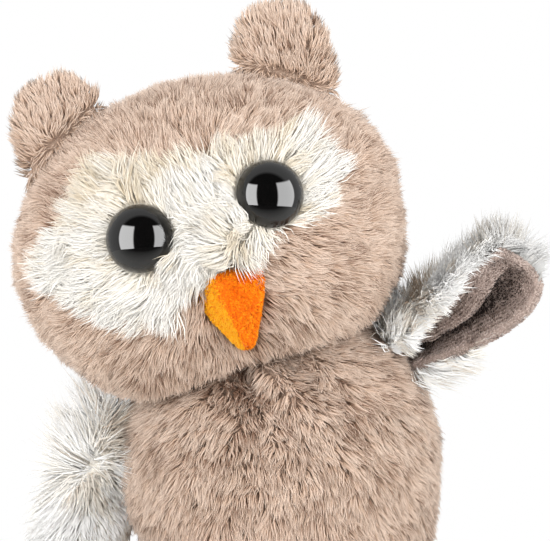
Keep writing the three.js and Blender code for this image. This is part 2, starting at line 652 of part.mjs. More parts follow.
// One soft foot, pointing along -Y from its heel, flat underneath.
function footSolid(inset) {
  const toe = swollen(TOE_COLUMNS, TOE_ROWS, (unit) => new THREE.Vector3(
    (FOOT_TOE_WIDTH / 2 - inset) * unit.x,
    (FOOT_TOE_LENGTH / 2 - inset) * unit.y,
    (FOOT_HEIGHT / 2 - inset) * unit.z,
  )).translate([0, -FOOT_TOE_LENGTH / 2, 0]);
  const instep = swollen(SMALL_COLUMNS - 2, TOE_ROWS, (unit) => new THREE.Vector3(
    (FOOT_TOE_WIDTH - inset) * unit.x,
    (FOOT_TOE_WIDTH - inset) * unit.y,
    (FOOT_HEIGHT / 2 - inset) * unit.z,
  )).translate([0, -FOOT_TOE_WIDTH, 0]);
  const toes = [-FOOT_SPLAY, 0, FOOT_SPLAY].map((splay) => toe.rotate([0, 0, splay]));
  const whole = toes.reduce((left, one) => left.add(one), instep);
  const sole = -FOOT_HEIGHT / 2 + BASE_EDGE / 4 + inset;
  return whole.subtract(box([-CUT_REACH, -CUT_REACH, -CUT_REACH], [CUT_REACH, CUT_REACH, sole]))
    .translate([0, 0, FOOT_HEIGHT / 2 - BASE_EDGE / 4]);
}

function buildFoot(root, side, sign) {
  const foot = new THREE.Group();
  foot.position.set((sign * FOOT_SPACING) / 2, -FOOT_HEEL, 0);
  foot.name = `${side}_foot_seam`;
  foot.updateMatrix();
  const bodyHere = bodySolid(-FIT_GAP, BODY_COLUMNS, BODY_ROWS).transform(foot.matrix.clone().invert().elements);
  const hinge = [0, 0, BASE_EDGE];
  const cut = (solid) => clearOf(solid, bodyHere, hinge, X_AXIS, [0, -FOOT_LIFT / 2, -FOOT_LIFT]);
  const mouth = box(
    [-FOOT_TOE_WIDTH / 2, -FOOT_TOE_WIDTH, FOOT_HEIGHT / 2 - BASE_EDGE],
    [FOOT_TOE_WIDTH / 2, CUT_REACH, FOOT_HEIGHT / 2 + VELOUR_WALL],
  );
  const skin = footSolid(0).subtract(footSolid(VELOUR_WALL)).subtract(mouth);
  foot.add(meshOf(`${side}_foot_skin`, cut(skin), orangeVelour));
  foot.add(meshOf(`${side}_foot_stuffing`, cut(footSolid(VELOUR_WALL + FIT_GAP)), fibre));
  root.add(foot);
}

// ---- Assembly ----

const owl = new THREE.Group();
owl.name = 'plush_owl';
buildBody(owl);
buildNeck(owl);

const head = new THREE.Group();
head.position.set(0, 0, BALL_HEIGHT);
head.rotation.set(0, radians(HEAD_ROLL), radians(HEAD_YAW));
const headGrown = buildHead(head);
buildEar(head, headGrown, 'left', 1, LEFT_EAR_SPLAY);
buildEar(head, headGrown, 'right', -1, RIGHT_EAR_SPLAY);
owl.add(head);

wings.forEach((wing) => buildWing(owl, wing));
buildFoot(owl, 'left', 1);
buildFoot(owl, 'right', -1);

export default owl;
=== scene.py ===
"""A small sitting owl sewn from long plush: its cloth, pile, eyes, beak, ears, wings and feet."""

import json
import math

import bmesh
import bpy
import numpy as np
from bpy.props import FloatProperty, FloatVectorProperty, IntProperty, PointerProperty
from mathutils import Matrix, Vector, kdtree

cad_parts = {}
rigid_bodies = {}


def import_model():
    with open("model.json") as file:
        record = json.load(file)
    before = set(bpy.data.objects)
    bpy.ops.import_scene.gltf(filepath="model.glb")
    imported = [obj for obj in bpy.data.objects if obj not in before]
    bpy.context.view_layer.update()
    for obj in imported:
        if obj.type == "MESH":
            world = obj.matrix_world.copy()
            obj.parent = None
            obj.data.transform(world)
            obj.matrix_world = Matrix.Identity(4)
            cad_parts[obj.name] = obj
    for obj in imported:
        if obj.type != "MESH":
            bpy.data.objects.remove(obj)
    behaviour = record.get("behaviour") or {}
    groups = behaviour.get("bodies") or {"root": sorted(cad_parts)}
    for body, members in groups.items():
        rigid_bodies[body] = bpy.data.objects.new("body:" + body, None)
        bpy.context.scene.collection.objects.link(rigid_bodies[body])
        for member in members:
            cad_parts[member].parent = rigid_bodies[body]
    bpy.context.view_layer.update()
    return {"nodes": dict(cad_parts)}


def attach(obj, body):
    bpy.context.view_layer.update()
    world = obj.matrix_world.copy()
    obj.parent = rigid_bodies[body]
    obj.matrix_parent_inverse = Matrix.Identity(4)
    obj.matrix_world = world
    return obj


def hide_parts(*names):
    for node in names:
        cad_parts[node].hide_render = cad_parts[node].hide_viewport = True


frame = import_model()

bl_info = {
    "name": "Plush Owl",
    "version": (1, 0, 0),
    "blender": (4, 5, 0),
    "location": "3D View > Sidebar > Plush Owl",
    "description": "Builds a small sitting owl in long plush with a shaggy face and cupped wings",
    "category": "Add Mesh",
}

MM = 0.001

# ---- How finely forms are cut, and how near points are merged ----

HEAD_FINENESS = 6
BALL_FINENESS = 5
BODY_ROWS = 44
BODY_STEPS = 112
BASE_STEPS = 96
EYE_STEPS = 72
DOME_STEPS = 28
RIM_STEPS = 4
WELD = 0.01 * MM
CUT_REACH = 0.001 * MM
NODE_WELD = 0.002 * MM

# ---- Head form, in shares and in metres ----

CROWN_POWER = 2.0
JAW_POWER = 2.8
CHEEK_REACH = 20 * MM
CHEEK_SIDE = 23 * MM
CHEEK_DROP = 34 * MM

# How far each cheek swells: its side, and how far it stands out.
CHEEK_SWELLS = ((1, 2 * MM), (-1, 1.4 * MM))

# Where the head's side bulges or is drawn in, in mm: across and up from its middle, how far and how wide.
HEAD_BULGES = ((-47, -28, -4.8, 16), (53, 9, 2.2, 18))
CHIN_CREASE = 1.0 * MM
CHIN_CREASE_WIDTH = 7 * MM
SOCKET_GAP = 2.3 * MM
SOCKET_RIM = 0.15 * MM
GUSSET_SIDE = 23 * MM
GUSSET_SEAM_BACK = 14 * MM
SEAM_HALF = 0.2 * MM
BACKING = 1.5 * MM

# The node that each panel of the head stands for.
HEAD_NODES = {
    "mask_left": "face_mask_left", "mask_right": "face_mask_right", "head_crown": "head_crown_panel",
    "head_back": "head_back_panel", "cheek_left": "cheek_panel_left", "cheek_right": "cheek_panel_right",
}

# ---- Mask: its middle, half sizes and outline in shares, clockwise from its top ----

MASK_SHIFT = -4.8 * MM
MASK_RISE = 5.3 * MM
MASK_HALF_WIDTH = 44 * MM
MASK_HALF_HEIGHT = 28 * MM
MASK_OUTLINE = (
    (-0.4, 0.86), (-0.18, 0.6), (0.21, 0.46), (0.56, 0.5), (0.93, 0.44), (1.06, -0.12),
    (0.9, -0.46), (0.46, -0.54), (0.26, -0.7), (-0.04, -0.78), (-0.23, -0.94), (-0.46, -1),
    (-0.75, -0.74), (-0.94, -0.34), (-1.04, -0.08), (-0.92, 0.18), (-0.68, 0.44), (-0.54, 0.74),
)

# How far inside the outline, across and up, the mask's pile is rooted: its tips reach over the edge.
MASK_REACH = (9.5 * MM, 8 * MM)

# ---- How the strands of each cloth lie ----

# Stands say how steeply each part of a strand rises, in radians, and tufts how many strands share one and
# how far they are drawn together. Wander, curl and speckle say how far strands stray, bend on and differ
# in tone. Soft is how much of a strand's shading follows the cloth under it, as fine hair's does, and glow
# how far that leans to its lit side, because light scatters through pale hair.
LIT_SIDE = (0, -0.8, 0.6)
WING_LIT_SIDE = (0.45, -0.75, 0.5)

TAUPE_LAY = {
    "stands": (1.0, 0.55), "tufts": ((12, 0.5), (60, 0.25)), "wander": 0.4, "curl": 0.0, "speckle": 0.2,
    "soft": 0.62, "glow": 0.0,
}
EAR_LAY = {
    "stands": (1.0, 0.55), "tufts": ((12, 0.35), (60, 0.2)), "wander": 0.4, "curl": 0.0, "speckle": 0.2,
    "soft": 0.75, "glow": 0.2,
}
WHITE_LAY = {
    "stands": (0.9, 0.5, 0.25), "tufts": ((8, 0.3), (70, 0.45)), "wander": 0.4, "curl": 0.2, "speckle": 0.04,
    "soft": 0.88, "glow": 0.3,
}
WING_LAY = {
    "stands": (0.9, 0.5), "tufts": ((8, 0.2), (70, 0.25)), "wander": 0.3, "curl": 0.15, "speckle": 0.05,
    "soft": 0.95, "glow": 1.5, "lit_side": WING_LIT_SIDE,
}
HEM_LAY = {
    "stands": (1.0, 0.6, 0.3), "tufts": ((8, 0.3), (70, 0.2)), "wander": 0.35, "curl": 0.15, "speckle": 0.05,
    "soft": 0.9, "glow": 1.5, "lit_side": WING_LIT_SIDE,
}
HANGING_LAY = {
    "stands": (0.75, 0.4), "tufts": ((8, 0.2), (70, 0.2)), "wander": 0.3, "curl": 0.2, "speckle": 0.04,
    "soft": 0.95, "glow": 1.2,
}
NAP_LAY = {
    "stands": (0.95, 0.6), "tufts": ((4, 0.2),), "wander": 0.35, "curl": 0.0, "speckle": 0.05,
    "soft": 0.3, "glow": 0.0,
}
VELOUR_LAY = {
    "stands": (1.2, 0.9), "tufts": ((6, 0.45),), "wander": 0.9, "curl": 0.0, "speckle": 0.07,
    "soft": 0.3, "glow": 0.0,
}

# ---- What all strands share: how a strand's length is shared out, and how far strands differ ----

STRAND_PARTS = {2: (0.45, 0.55), 3: (0.3, 0.36, 0.34)}
LENGTH_SPREAD = 0.16
LENGTH_LIMITS = (0.5, 1.5)
WIDTH_SPREAD = 0.22
WIDTH_LIMITS = (0.5, 1.7)
STAND_SPREAD = 0.14
STEEPEST = 1.5
LIFT_FADE_SHARE = 0.3
PULL_RANGE = (0.6, 1.4)
PULL_POWER = 1.3
TUFT_TONE_SPREAD = 0.1
UPPER_TAPER_SHARE = 0.75
BACK_SHARE = 0.36
BACK_BLEND = 0.35
FLOOR_GAP = 0.3 * MM

# What is added to the seed for each pile, so that each has random numbers of its own.
SEEDS = {
    "body": 0, "head": 1, "beak": 2, "left_ear": 3, "right_ear": 4, "left_wing": 5, "right_wing": 6,
    "left_foot": 8, "right_foot": 9, "left_lining": 11, "right_lining": 12, "left_hem": 13, "right_hem": 14,
    "left_nap": 15, "right_nap": 16,
}

# ---- The lie and tone of each pile ----

# A tone, a lift or a length is a middle value and its waves, each (strength, size in mm, seed). A swirl is
# (strength, size in mm, seed), and partings are (fine size, coarse size, seed).
# Where the pile parts, painted shade darkens its tone and its strands stand higher.
PARTING_PAINTED_SHADE = 0.16
PARTING_LIFT = 0.2
BODY_TONE = (0.58, (0.18, 19, 43))
BODY_SWIRL = (0.5, 14, 31)
BODY_PARTINGS = (13, 31, 41)
BODY_DOWN = (0, 0, -0.55)
# Painted shade that darkens the body's pile in the neck's folds, and painted light that brightens it on the
# fold that stands out as a ridge.
FOLD_PAINTED_SHADE = 0.28

# The point that the body's pile fans away from, in mm, and how much of the body the head hides.
BODY_FAN = (-9, -30, 96)
HIDDEN_HEAD_SHARE = 0.93
HIDDEN_STEP = 3 * MM
LOWEST_ROOT = 0.6 * MM

HEAD_TONE = (0.56, (0.16, 18, 63))
HEAD_SWIRL = (0.45, 13, 51)
HEAD_PARTINGS = (12, 30, 61)
HEAD_BACK_DOWN = -1.6
FACE_SHIFT = -3 * MM
FACE_DEPTH_SHARE = 0.55

EAR_TONE = (0.5, (0.15, 12, 95))
EAR_SWIRL = (0.35, 14, 91)
EAR_LIFT = (0, (0.15, 8, 96))
EAR_UP = (0, 0, 0.5)
EAR_SEAM_DOWN = (0, 0, -3.5)
EAR_SEAM_BAND = (1.5 * MM, 5 * MM)
EAR_SEAM_LIFT = 0.2
EAR_LENGTHS = (0.8, 0.2)
EAR_PALE_TIP = 0.3
EAR_PALE_RISE = 25 * MM
EAR_FAN_RISE = 22 * MM
EAR_LOWEST_ROOT = 1 * MM

# The whorl over the beak, across and up from the head's middle: how deep it is, how far painted shade
# darkens its hollow, how high the hair stands in it and how it falls over the beak.
WHORL = (5 * MM, -5.7 * MM)
WHORL_DEPTH = 2 * MM
WHORL_PAINTED_SHADE = 0.16
WHORL_PAINTED_SHADE_REACH = 4 * MM
WHORL_LIFT = 0.45
WHORL_LIFT_REACH = 6 * MM
WHORL_MESS = (0.7, 0.35)
WHORL_MESS_REACH = 9 * MM
FRINGE_REACH = 7 * MM
FRINGE_BAND = (-1 * MM, 3 * MM)
FRINGE_DOWN = (0, 0, -2.0)
FRINGE_SHORT = 0.05

# The rest of the mask's shag: how it turns away from the eyes, and what it is at their rims, on the brow
# and at the mask's edge.
MASK_TONE = (0.62, (0.12, 8, 75))
MASK_LIFT = (0, (0.2, 7, 76))
MASK_LENGTH = (1, (0.2, 6, 77))
MASK_SWIRL = (9, 71)
EYE_PARTING = 1.5
EYE_PARTING_REACH = 17 * MM
RIM_REACH = 2.5 * MM
# Painted shade round the rims of the eyes, which sit sunk into the shag.
RIM_PAINTED_SHADE = 0.12
RIM_LIFT = 0.3
RIM_SHORT = 0.35
BROW_DARK = 0.4
BROW_BAND = (6 * MM, 18 * MM)
MASK_EDGE_REACH = 3.5 * MM
MASK_EDGE_TUFTS = (7 * MM, 78)
MASK_EDGE_LONG = 0.2

# How short taupe strands get where they would cross the beak, and where the white ones may lie over it.
BESIDE_BEAK_SHARE = 0.4
OVER_BEAK_SHARE = 0.3

BEAK_TONE = (0.45, (0.2, 2.2, 81), (0.08, 6, 82))
BEAK_LIFT = (0, (0.3, 3, 83))
BEAK_DOWN = (0, -0.2, -1)
# Painted light: the beak's side that faces the owl's right, towards the left softbox, is paler.
BEAK_PAINTED_LIGHT = 0.55
FOOT_TONE = (0.5, (0.3, 2.2, 111), (0.12, 6, 112))
FOOT_LIFT = (0, (0.3, 3, 113))
FOOT_AHEAD = (0.0, -1.0, -0.2)
FOOT_LOWEST_ROOT = 1.4 * MM

# Short piles: strands per square millimetre, their length and their width.
BEAK_VELOUR = (19, 1.0 * MM, 0.24 * MM)
FOOT_VELOUR = (5, 1.2 * MM, 0.4 * MM)
NAPS = {"left": (8, 0.9 * MM, 0.34 * MM), "right": (3, 0.9 * MM, 0.48 * MM)}

# The linings' nap: its rows and how far they wave, where painted shade darkens the raised wing's cup under
# its flap, and its tip pale.
NAP_TONE = 0.56
NAP_WAVE = (0.08, 5, 118)
NAP_SWIRL = (1, 7, 114)
NAP_ROW = 1.1 * MM
# Painted shading of the ribs: the rows' tone is darker between them and paler on them.
NAP_ROW_PAINTED_SHADING = 0.3
NAP_ROW_WAVE = (1.4, 7, 117)
NAP_PALE = 0.15
CUP_PAINTED_SHADE_START = (-0.3, -0.15)
CUP_PAINTED_SHADE_END = (0.42, 0.85)

# ---- Body form ----

BELL_POWER = 1.9
BASE_EDGE = 3 * MM
BASE_WALL = 4 * MM
BASE_SEAM = 0.35 * MM
BASE_DISH = 0.25 * MM
BASE_DISH_EDGE = 0.1 * MM
STITCHES = 64
STITCH_HALVES = (0.22 * MM, 0.7 * MM, 0.22 * MM)
STITCH_HEIGHT = 0.2 * MM

# Where each side of the body is drawn in: the side, its height, its depth and how far up and down.
BODY_SIDES = ((-1, 20, 5.2, 15), (1, 48, 2.0, 26))

# Each fold that the neck seam draws into the body: its two ends across and up, its depth and width.
BODY_FOLDS = (
    ((-9.5, 76), (11, 47), 3.0, 2.2),
    ((-10, 74), (-2, 44), 2.2, 2.4),
    ((-11, 73), (-15, 50), 1.4, 2.6),
    ((-3, 79), (22, 62), 1.8, 2.6),
    ((13, 66), (25, 49), 1.2, 2.4),
    ((-4, 76), (15, 50), -2.2, 2.6),
)

# ---- Wings: how each is sewn on and held, in degrees ----

WING_HOLDS = {
    "left": {"azimuth": 2, "elevation": 40, "lift": 40, "sweep": -33, "twist": -46},
    "right": {"azimuth": 180, "elevation": 16, "lift": -60, "sweep": 180, "twist": -42},
}
WING_FULL_SHARE = 0.55
WING_LAST_SHARE = 0.945
WING_SEAT = 0.35 * MM
CLOTH_GAP = 0.4 * MM

# How far the raised wing's root is bent up the body towards the head, which eases off to the tip.
WING_BEND = 5 * MM

# A cover's height over its lining's face, how far its edges are tucked down, how much lower the raised
# wing's under side lies, and its thickness.
COVER_HEIGHT = 2.4 * MM
COVER_TUCK = 1 * MM
COVER_LOW = 1.1 * MM
COVER_THICKNESS = 0.8 * MM

# The raised wing's lining across its cup, from the upper rim to the lower one, as shares across and
# down: its upper half hangs over the cup as a flap. Then where along the wing the flap starts and ends.
LINING_FOLD = (
    (-1.0, 0.0), (-0.86, 0.2), (-0.62, 0.22), (-0.36, 0.12), (-0.12, 0.08), (0.02, 0.16), (-0.02, 0.32),
    (-0.16, 0.5), (-0.16, 0.74), (0.06, 0.92), (0.36, 0.86), (0.64, 0.62), (0.86, 0.3), (1.0, 0.0),
)
FLAP_START = (0.02, 0.3)
FLAP_END = (0.55, 1.0)
LINING_INSET = 0.9 * MM
LINING_THICKNESS = 1 * MM

# The rolled hem of a lining: its radius, how high over the lining's face its middle runs, where it starts,
# its gap to the body, and the step by which the way up is measured for the shag at a wing's edge.
HEM_RADIUS = 1.2 * MM
HEM_HEIGHT = 0.6 * MM
HEM_START = 0.04
HEM_GAP = 0.3 * MM
EDGE_STEP = 1 * MM

# ---- Wing shag ----

WING_DENSITY_SHARE = 0.8
WING_FIRST_ROOT = 0.4 * MM
WING_TONE = (0.56, (0.2, 9, 105))
WING_SWIRL = (0.3, 13, 101)
WING_LIFT = (0, (0.2, 8, 106))
WING_SIDE_FLAT = 0.3
WING_STRAND_SHARE = 1.1
WING_LENGTH_SHARE = 1.1

# The raised wing's under side, where the shag lies low and short, and its upper rim, where it is long.
LOW_SHORT = 0.88
LOW_FLAT = 0.6
LOW_CALM = 0.1
HIGH_LONG = 0.3
HIGH_CUT = 1.6

# The hanging wing's root, where the shag stands full, and its inner and outer side.
FULL_LONG = 0.5
FULL_LIFT = 0.5
INNER_SHORT = 0.8
OUTER_LONG = 0.25

# Where painted shade darkens the raised wing most, next to the head that shades it: in mm along and across,
# how dark and how far.
WING_SHADE = (15, -13, 0)
WING_SHADE_DARK = 0.5
WING_SHADE_REACH = 8 * MM
# Painted light that makes the whole raised wing's shag paler, as it lies in shade, and then the waves of its
# tone.
RAISED_PAINTED_LIGHT = 0.06
RAISED_WAVE = (0.12, 6, 111)

# The shag off a wing's hem: how many strands, where it starts, the share at the tip and how far round,
# how high over the lining it roots in mm, how far in, and its length against the shag's.
EDGE_STRANDS = 2200
EDGE_START = 0.02
EDGE_TIP_SHARE = 0.12
EDGE_TIP_END = 0.2
EDGE_HEIGHTS = (2.0, 3.2)
EDGE_INNERMOST = 0.86
EDGE_LENGTH_SHARE = 0.65
EDGE_TONE = (0.6, (0.18, 9, 110))
EDGE_SWIRL = (0.5, 9, 107)
EDGE_GAP = 0.8 * MM

# ---- Eyes: how each is turned and leans, how deep it sits, and its dome's rim and barbed shank ----

EYE_TURN = math.radians(15)
EYE_LEAN = math.radians(85)
EYE_SINK = 3 * MM
HAZE_SIZE = 2 * MM
CLOUD_SIZE = 3 * MM
EYE_WELL = 3.2 * MM
EYE_HAIR_LAP = 0.5 * MM
EYE_REAR = -8 * MM
EYE_BACK = 0.35 * MM
EYE_RIM = 1.2 * MM
SHANK_END = -13 * MM
SHANK_END_RADIUS = 1.2 * MM
SHANK_SHOULDER = -11.5 * MM
SHANK_RADIUS = 2.4 * MM
BARB_RADIUS = 2.75 * MM
BARB_HALF = 0.75 * MM
BARB_HEIGHTS = (-10.5 * MM, -7.5 * MM, -4.5 * MM)

# ---- Beak and ears ----

BEAK_TIP_SHARE = 0.22
BEAK_TOP_SHARE = 1.34
BEAK_FILLING_SHARE = 0.78
BEAK_TIP_DEPTH_SHARE = 0.52
BEAK_TOP_DEPTH_SHARE = 1.14
BEAK_FULLNESS = 0.22
BEAK_RIDGE_SHARE = 0.22
BEAK_HOOK_SHARE = 0.25
BEAK_LEAN_SHARE = 0.7
BEAK_TURN = math.radians(4)
BEAK_INSET = 0.5 * MM

# The beak's flat faces by the angle each one faces, from straight ahead towards the owl's left.
BEAK_FACETS = (22, 95, 165, -140, -62)
BEAK_CORNER_POWER = 14

# The room that the beak takes up among the hair, and how far the cloth goes on behind its root.
BEAK_ROOM_WIDE = (1.4, 1.1)
BEAK_ROOM_GAP = 0.4 * MM
BEAK_LAP = 1 * MM

EAR_SQUARENESS = 2.7
EAR_SPLAYS = {"left": math.radians(8), "right": 0.0}
EAR_GAP = 0.3 * MM

# ---- Feet: where each stands, how the toes spread, and how finely they are blended ----

FOOT_SIDE = 16.5 * MM
FOOT_FORWARD = 22 * MM
FOOT_SINK = 0.75 * MM
FOOT_INSET = 0.4 * MM
TOE_SPLAYS = (-21, 0, 21)
TOE_VOXEL = 0.6 * MM

# ---- Fillings: the node, the piece, its body, its voxels and lumps in mm ----

FILLINGS = (
    ("body_stuffing", "body_filling", "torso", 1.5, 0.9),
    ("head_stuffing", "head_filling", "head", 1.5, 0.9),
    ("beak_stuffing", "beak_filling", "head", 0.6, 0.2),
    ("left_ear_stuffing", "left_ear_filling", "left_ear", 0.7, 0.3),
    ("right_ear_stuffing", "right_ear_filling", "right_ear", 0.7, 0.3),
    ("left_foot_stuffing", "left_foot_filling", "left_foot", 0.6, 0.2),
    ("right_foot_stuffing", "right_foot_filling", "right_foot", 0.6, 0.2),
    ("neck_core", "neck_roll", "neck_lower", 0.8, 0.3),
)
FILLING_SEED = 120
POUCH = (0.9, 0.5, 131)
NECK_BAND = (0.5, 0.1, 132)
LUMP_SIZE = 9 * MM

# ---- Plain cloths: the two colours, the grain and the depth of the loops in mm, and the sheen ----

CLOTHS = {
    # Knitted polyester backing, heat set: a dull, finely pebbled ground between the roots of the pile.
    "taupe_plush_backing": ("957D6C", "B59C8A", 0.7, 0.5, 0.1),
    "white_plush_backing": ("EBE2D2", "F8F4EB", 0.7, 0.5, 0.1),
    # Brushed polyester, cut flat: smooth and even, with a faint bloom where light grazes it.
    "taupe_base_cloth": ("8D7668", "BFA795", 0.6, 0.35, 0.3),
    # Twisted polyester thread: darker than the cloth, with a small glint on each stitch.
    "taupe_sewing_thread": ("6F5A4D", "93796A", 0.3, 0.1, 0.2),
    # Knitted nylon ground of velour, dyed through: deep orange where the pile parts.
    "orange_velour_ground": ("E66600", "FF8B00", 0.55, 0.4, 0.3),
}
BLOTCH_GRAINS = 12
THREAD_SPACING = 0.6 * MM
THREAD_BUMP = 0.15 * MM

# How many bands the wave texture draws in one unit at a scale of one.
WAVE_BANDS = 3.14

# ---- Studio ----

# The softboxes as the eyes mirror them: left, right, low and high edge in degrees, and strength.
SOFTBOXES = ((-69, -27, -34, 32, 12.0), (34, 86, -24, 36, 10.0))
SOFTBOX_EDGE = math.radians(2)
ROOM_LEVEL = 0.9

# Each lamp's name, place, width, height and power in watts, and the point that all look at.
LAMPS = (
    ("left_softbox", (-0.66, -0.78, 0.3), 0.6, 0.8, 6.2),
    ("right_softbox", (0.62, -0.72, 0.28), 0.6, 0.8, 5.8),
    ("top_softbox", (0.0, -0.1, 0.95), 0.9, 0.9, 1.5),
)
LAMP_TARGET = (0, 0, 0.1)
FLOOR_RADIUS = 0.3
FLOOR_DROP = 0.2 * MM
CAMERA_DISTANCE = 1.3
CAMERA_CLIPS = (0.05, 20)
SENSOR_WIDTH = 36

# ---- The photograph's frame, which the camera takes in ----

FRAME_WIDE = 550
METRES_PER_PIXEL = 0.27 * MM
FRAME_MIDDLE = (-1.9 * MM, 101.1 * MM)


def linear(code):
    """An sRGB hex value as the linear colour that shaders use."""
    shares = [int(code[i:i + 2], 16) / 255 for i in (0, 2, 4)]
    return tuple(c / 12.92 if c <= 0.04045 else ((c + 0.055) / 1.055) ** 2.4 for c in shares)


def length_prop(name, description, default_mm):
    """A length that a user may change, given in millimetres here and kept in metres."""
    return FloatProperty(
        name=name, description=description, default=default_mm * MM, unit="LENGTH", precision=4,
    )


def angle_prop(name, description, default_degrees):
    """An angle that a user may change."""
    return FloatProperty(
        name=name, description=description, default=math.radians(default_degrees), unit="ROTATION",
    )


def colour_prop(name, description, code):
    """A colour that a user may change, from its sRGB hex value."""
    return FloatVectorProperty(
        name=name, description=description, default=linear(code), size=3, min=0, max=1, subtype="COLOR",
    )


class OwlSizes(bpy.types.PropertyGroup):
    """The sizes of the owl's parts and of its pile."""

    body_radius: length_prop("Body radius", "Radius of the body's round top", 43.5)
    ball_height: length_prop("Ball height", "Height of the middle of the body's round top", 49)
    base_radius: length_prop("Base radius", "Radius of the body where it rests", 27)
    head_width: length_prop("Head width", "Width of the head's cloth form", 103)
    head_depth: length_prop("Head depth", "Depth of the head's cloth form", 88)
    head_height: length_prop("Head height", "Height of the head's cloth form", 82)
    head_rise: length_prop("Head rise", "From the neck's middle up to the head's middle", 65)
    head_forward: length_prop("Head forward", "How far the head's middle sits before the neck", 8)
    head_roll: angle_prop("Head roll", "How far the head leans to the owl's right", -19)
    head_yaw: angle_prop("Head yaw", "How far the head is turned", 3)
    eye_spacing: length_prop("Eye spacing", "Between the middles of the eyes", 35)
    eye_rise: length_prop("Eye rise", "Height of the eyes over the head's middle", 4)
    eye_radius: length_prop("Eye radius", "Radius of each eye's dome", 9)
    eye_dome: length_prop("Eye dome", "How far each dome stands off its back", 8.2)
    beak_width: length_prop("Beak width", "Width of the beak at its root", 16)
    beak_depth: length_prop("Beak depth", "Depth of the beak", 15)
    beak_height: length_prop("Beak height", "Length of the beak", 21)
    beak_drop: length_prop("Beak drop", "The beak's middle below the head's middle", 21.5)
    ear_spacing: length_prop("Ear spacing", "Between the middles of the ears", 61.5)
    ear_shift: length_prop("Ear shift", "How far both ears sit to the owl's left", 3.6)
    ear_width: length_prop("Ear width", "Width of an ear", 28)
    ear_depth: length_prop("Ear depth", "Thickness of an ear", 15)
    ear_height: length_prop("Ear height", "Height of an ear with its sewn root", 42)
    ear_top: length_prop("Ear top", "Top of the ears over the head's middle", 54)
    wing_length: length_prop("Wing length", "From a wing's root to its tip", 48)
    wing_half_width: length_prop("Wing half width", "Half the width of a wing laid flat", 14.5)
    wing_root_half_width: length_prop("Wing root half width", "Half a wing's width where it is sewn on", 10)
    wing_cup: length_prop("Wing cup", "Radius that a wing is cupped to", 8.8)
    wing_root_cup: length_prop("Wing root cup", "Radius that a wing is cupped to at its root", 4)
    wing_droop: length_prop("Wing droop", "How far a wing's tip bends down", 7)
    toe_length: length_prop("Toe length", "Length of a toe from the heel", 29)
    toe_width: length_prop("Toe width", "Width of a toe", 10.5)
    foot_height: length_prop("Foot height", "Height of a foot", 9)
    pile_root: length_prop("Pile root", "How deep the pile's roots lie under the plush's outside", 3.0)
    taupe_pile: length_prop("Taupe pile", "Length of the taupe pile", 6.4)
    white_pile: length_prop("White pile", "Length of the white shag", 10.4)
    strand_width: length_prop("Strand width", "Width of one drawn strand of pile at its thickest", 0.31)


class OwlLooks(bpy.types.PropertyGroup):
    """The colours of the owl's cloths and how close its pile stands."""

    taupe_root: colour_prop("Taupe root", "Taupe pile at its roots", "8F7563")
    taupe_mid: colour_prop("Taupe middle", "Taupe pile at half its length", "CDB19C")
    taupe_tip: colour_prop("Taupe tip", "Taupe pile at its tips", "F3DFCF")
    white_root: colour_prop("White root", "White shag at its roots", "EFE9DD")
    white_mid: colour_prop("White middle", "White shag at half its length", "F0ECE4")
    white_tip: colour_prop("White tip", "White shag at its tips", "F0EDE8")
    lining: colour_prop("Wing lining", "Grey-brown velour in the wings", "BFACA2")
    lining_low: colour_prop("Wing lining low", "Grey-brown velour between its ribs", "75645C")
    orange: colour_prop("Orange velour", "Velour of the beak and the feet", "FFB014")
    orange_low: colour_prop("Orange velour low", "Orange velour down between its tufts", "F07A00")
    orange_tip: colour_prop("Orange velour tip", "Orange velour at its lit tips", "FFC43C")
    filling: colour_prop("Filling", "Polyester fibre inside", "EFECE4")
    cotton: colour_prop("Cotton", "Woven cotton of the pellet pouch", "DDD5C2")
    eye: colour_prop("Eye", "Black plastic of the eyes", "050505")
    washer: colour_prop("Washer", "Milky plastic of the eye washers", "DAD8D2")
    floor: colour_prop("Floor", "Pale floor under the owl", "F2F2F0")
    taupe_density: FloatProperty(
        name="Taupe density", description="Taupe strands per square millimetre", default=5.8, min=0.1,
    )
    white_density: FloatProperty(
        name="White density", description="White strands per square millimetre", default=7.6, min=0.1,
    )
    seed: IntProperty(name="Seed", description="Seed of the pile's random lie", default=7)


# ---- Small tools for points ----


def unit_rows(rows):
    """Each row drawn to a length of one."""
    return rows / np.maximum(np.linalg.norm(rows, axis=1, keepdims=True), 1e-12)


def signed_power(values, power):
    """A power of each number that keeps its sign."""
    return np.sign(values) * np.abs(values) ** power


def placed(points, matrix):
    """Points moved by a matrix."""
    matrix = np.array(matrix)
    return points @ matrix[:3, :3].T + matrix[:3, 3]


def turned(rows, matrix):
    """Directions turned by a matrix."""
    return rows @ np.array(matrix)[:3, :3].T


def rows_of(items, what):
    """One triple of numbers of each vertex or face, as rows."""
    flat = np.empty(len(items) * 3)
    items.foreach_get(what, flat)
    return flat.reshape(-1, 3)


def coordinates(mesh):
    """A mesh's vertices as rows."""
    return rows_of(mesh.vertices, "co")


def set_coordinates(mesh, points):
    """Moves a mesh's vertices to these rows."""
    mesh.vertices.foreach_set("co", np.ascontiguousarray(points, dtype=np.float32).ravel())
    mesh.update()


def ripple(points, size, seed, layers=7):
    """A smooth random field from -1 to 1 over points, whose waves are about this long."""
    rng = np.random.default_rng(seed)
    waves = unit_rows(rng.normal(size=(layers, 3))) * (math.tau / size) * rng.uniform(0.6, 1.5, (layers, 1))
    starts = rng.uniform(0, math.tau, layers)
    return np.sin(points @ waves.T + starts).sum(axis=1) / (layers * 0.55)


def waved(points, middle, *waves):
    """A middle value with waves over points, each (strength, size in mm, seed)."""
    for strength, size, seed in waves:
        middle = middle + strength * ripple(points, size * MM, seed)
    return middle


def swirled(points, strength, size, seed):
    """A smooth random direction at each point, which turns within about this many mm."""
    return np.stack([ripple(points, size * MM, seed + i) for i in range(3)], 1) * strength


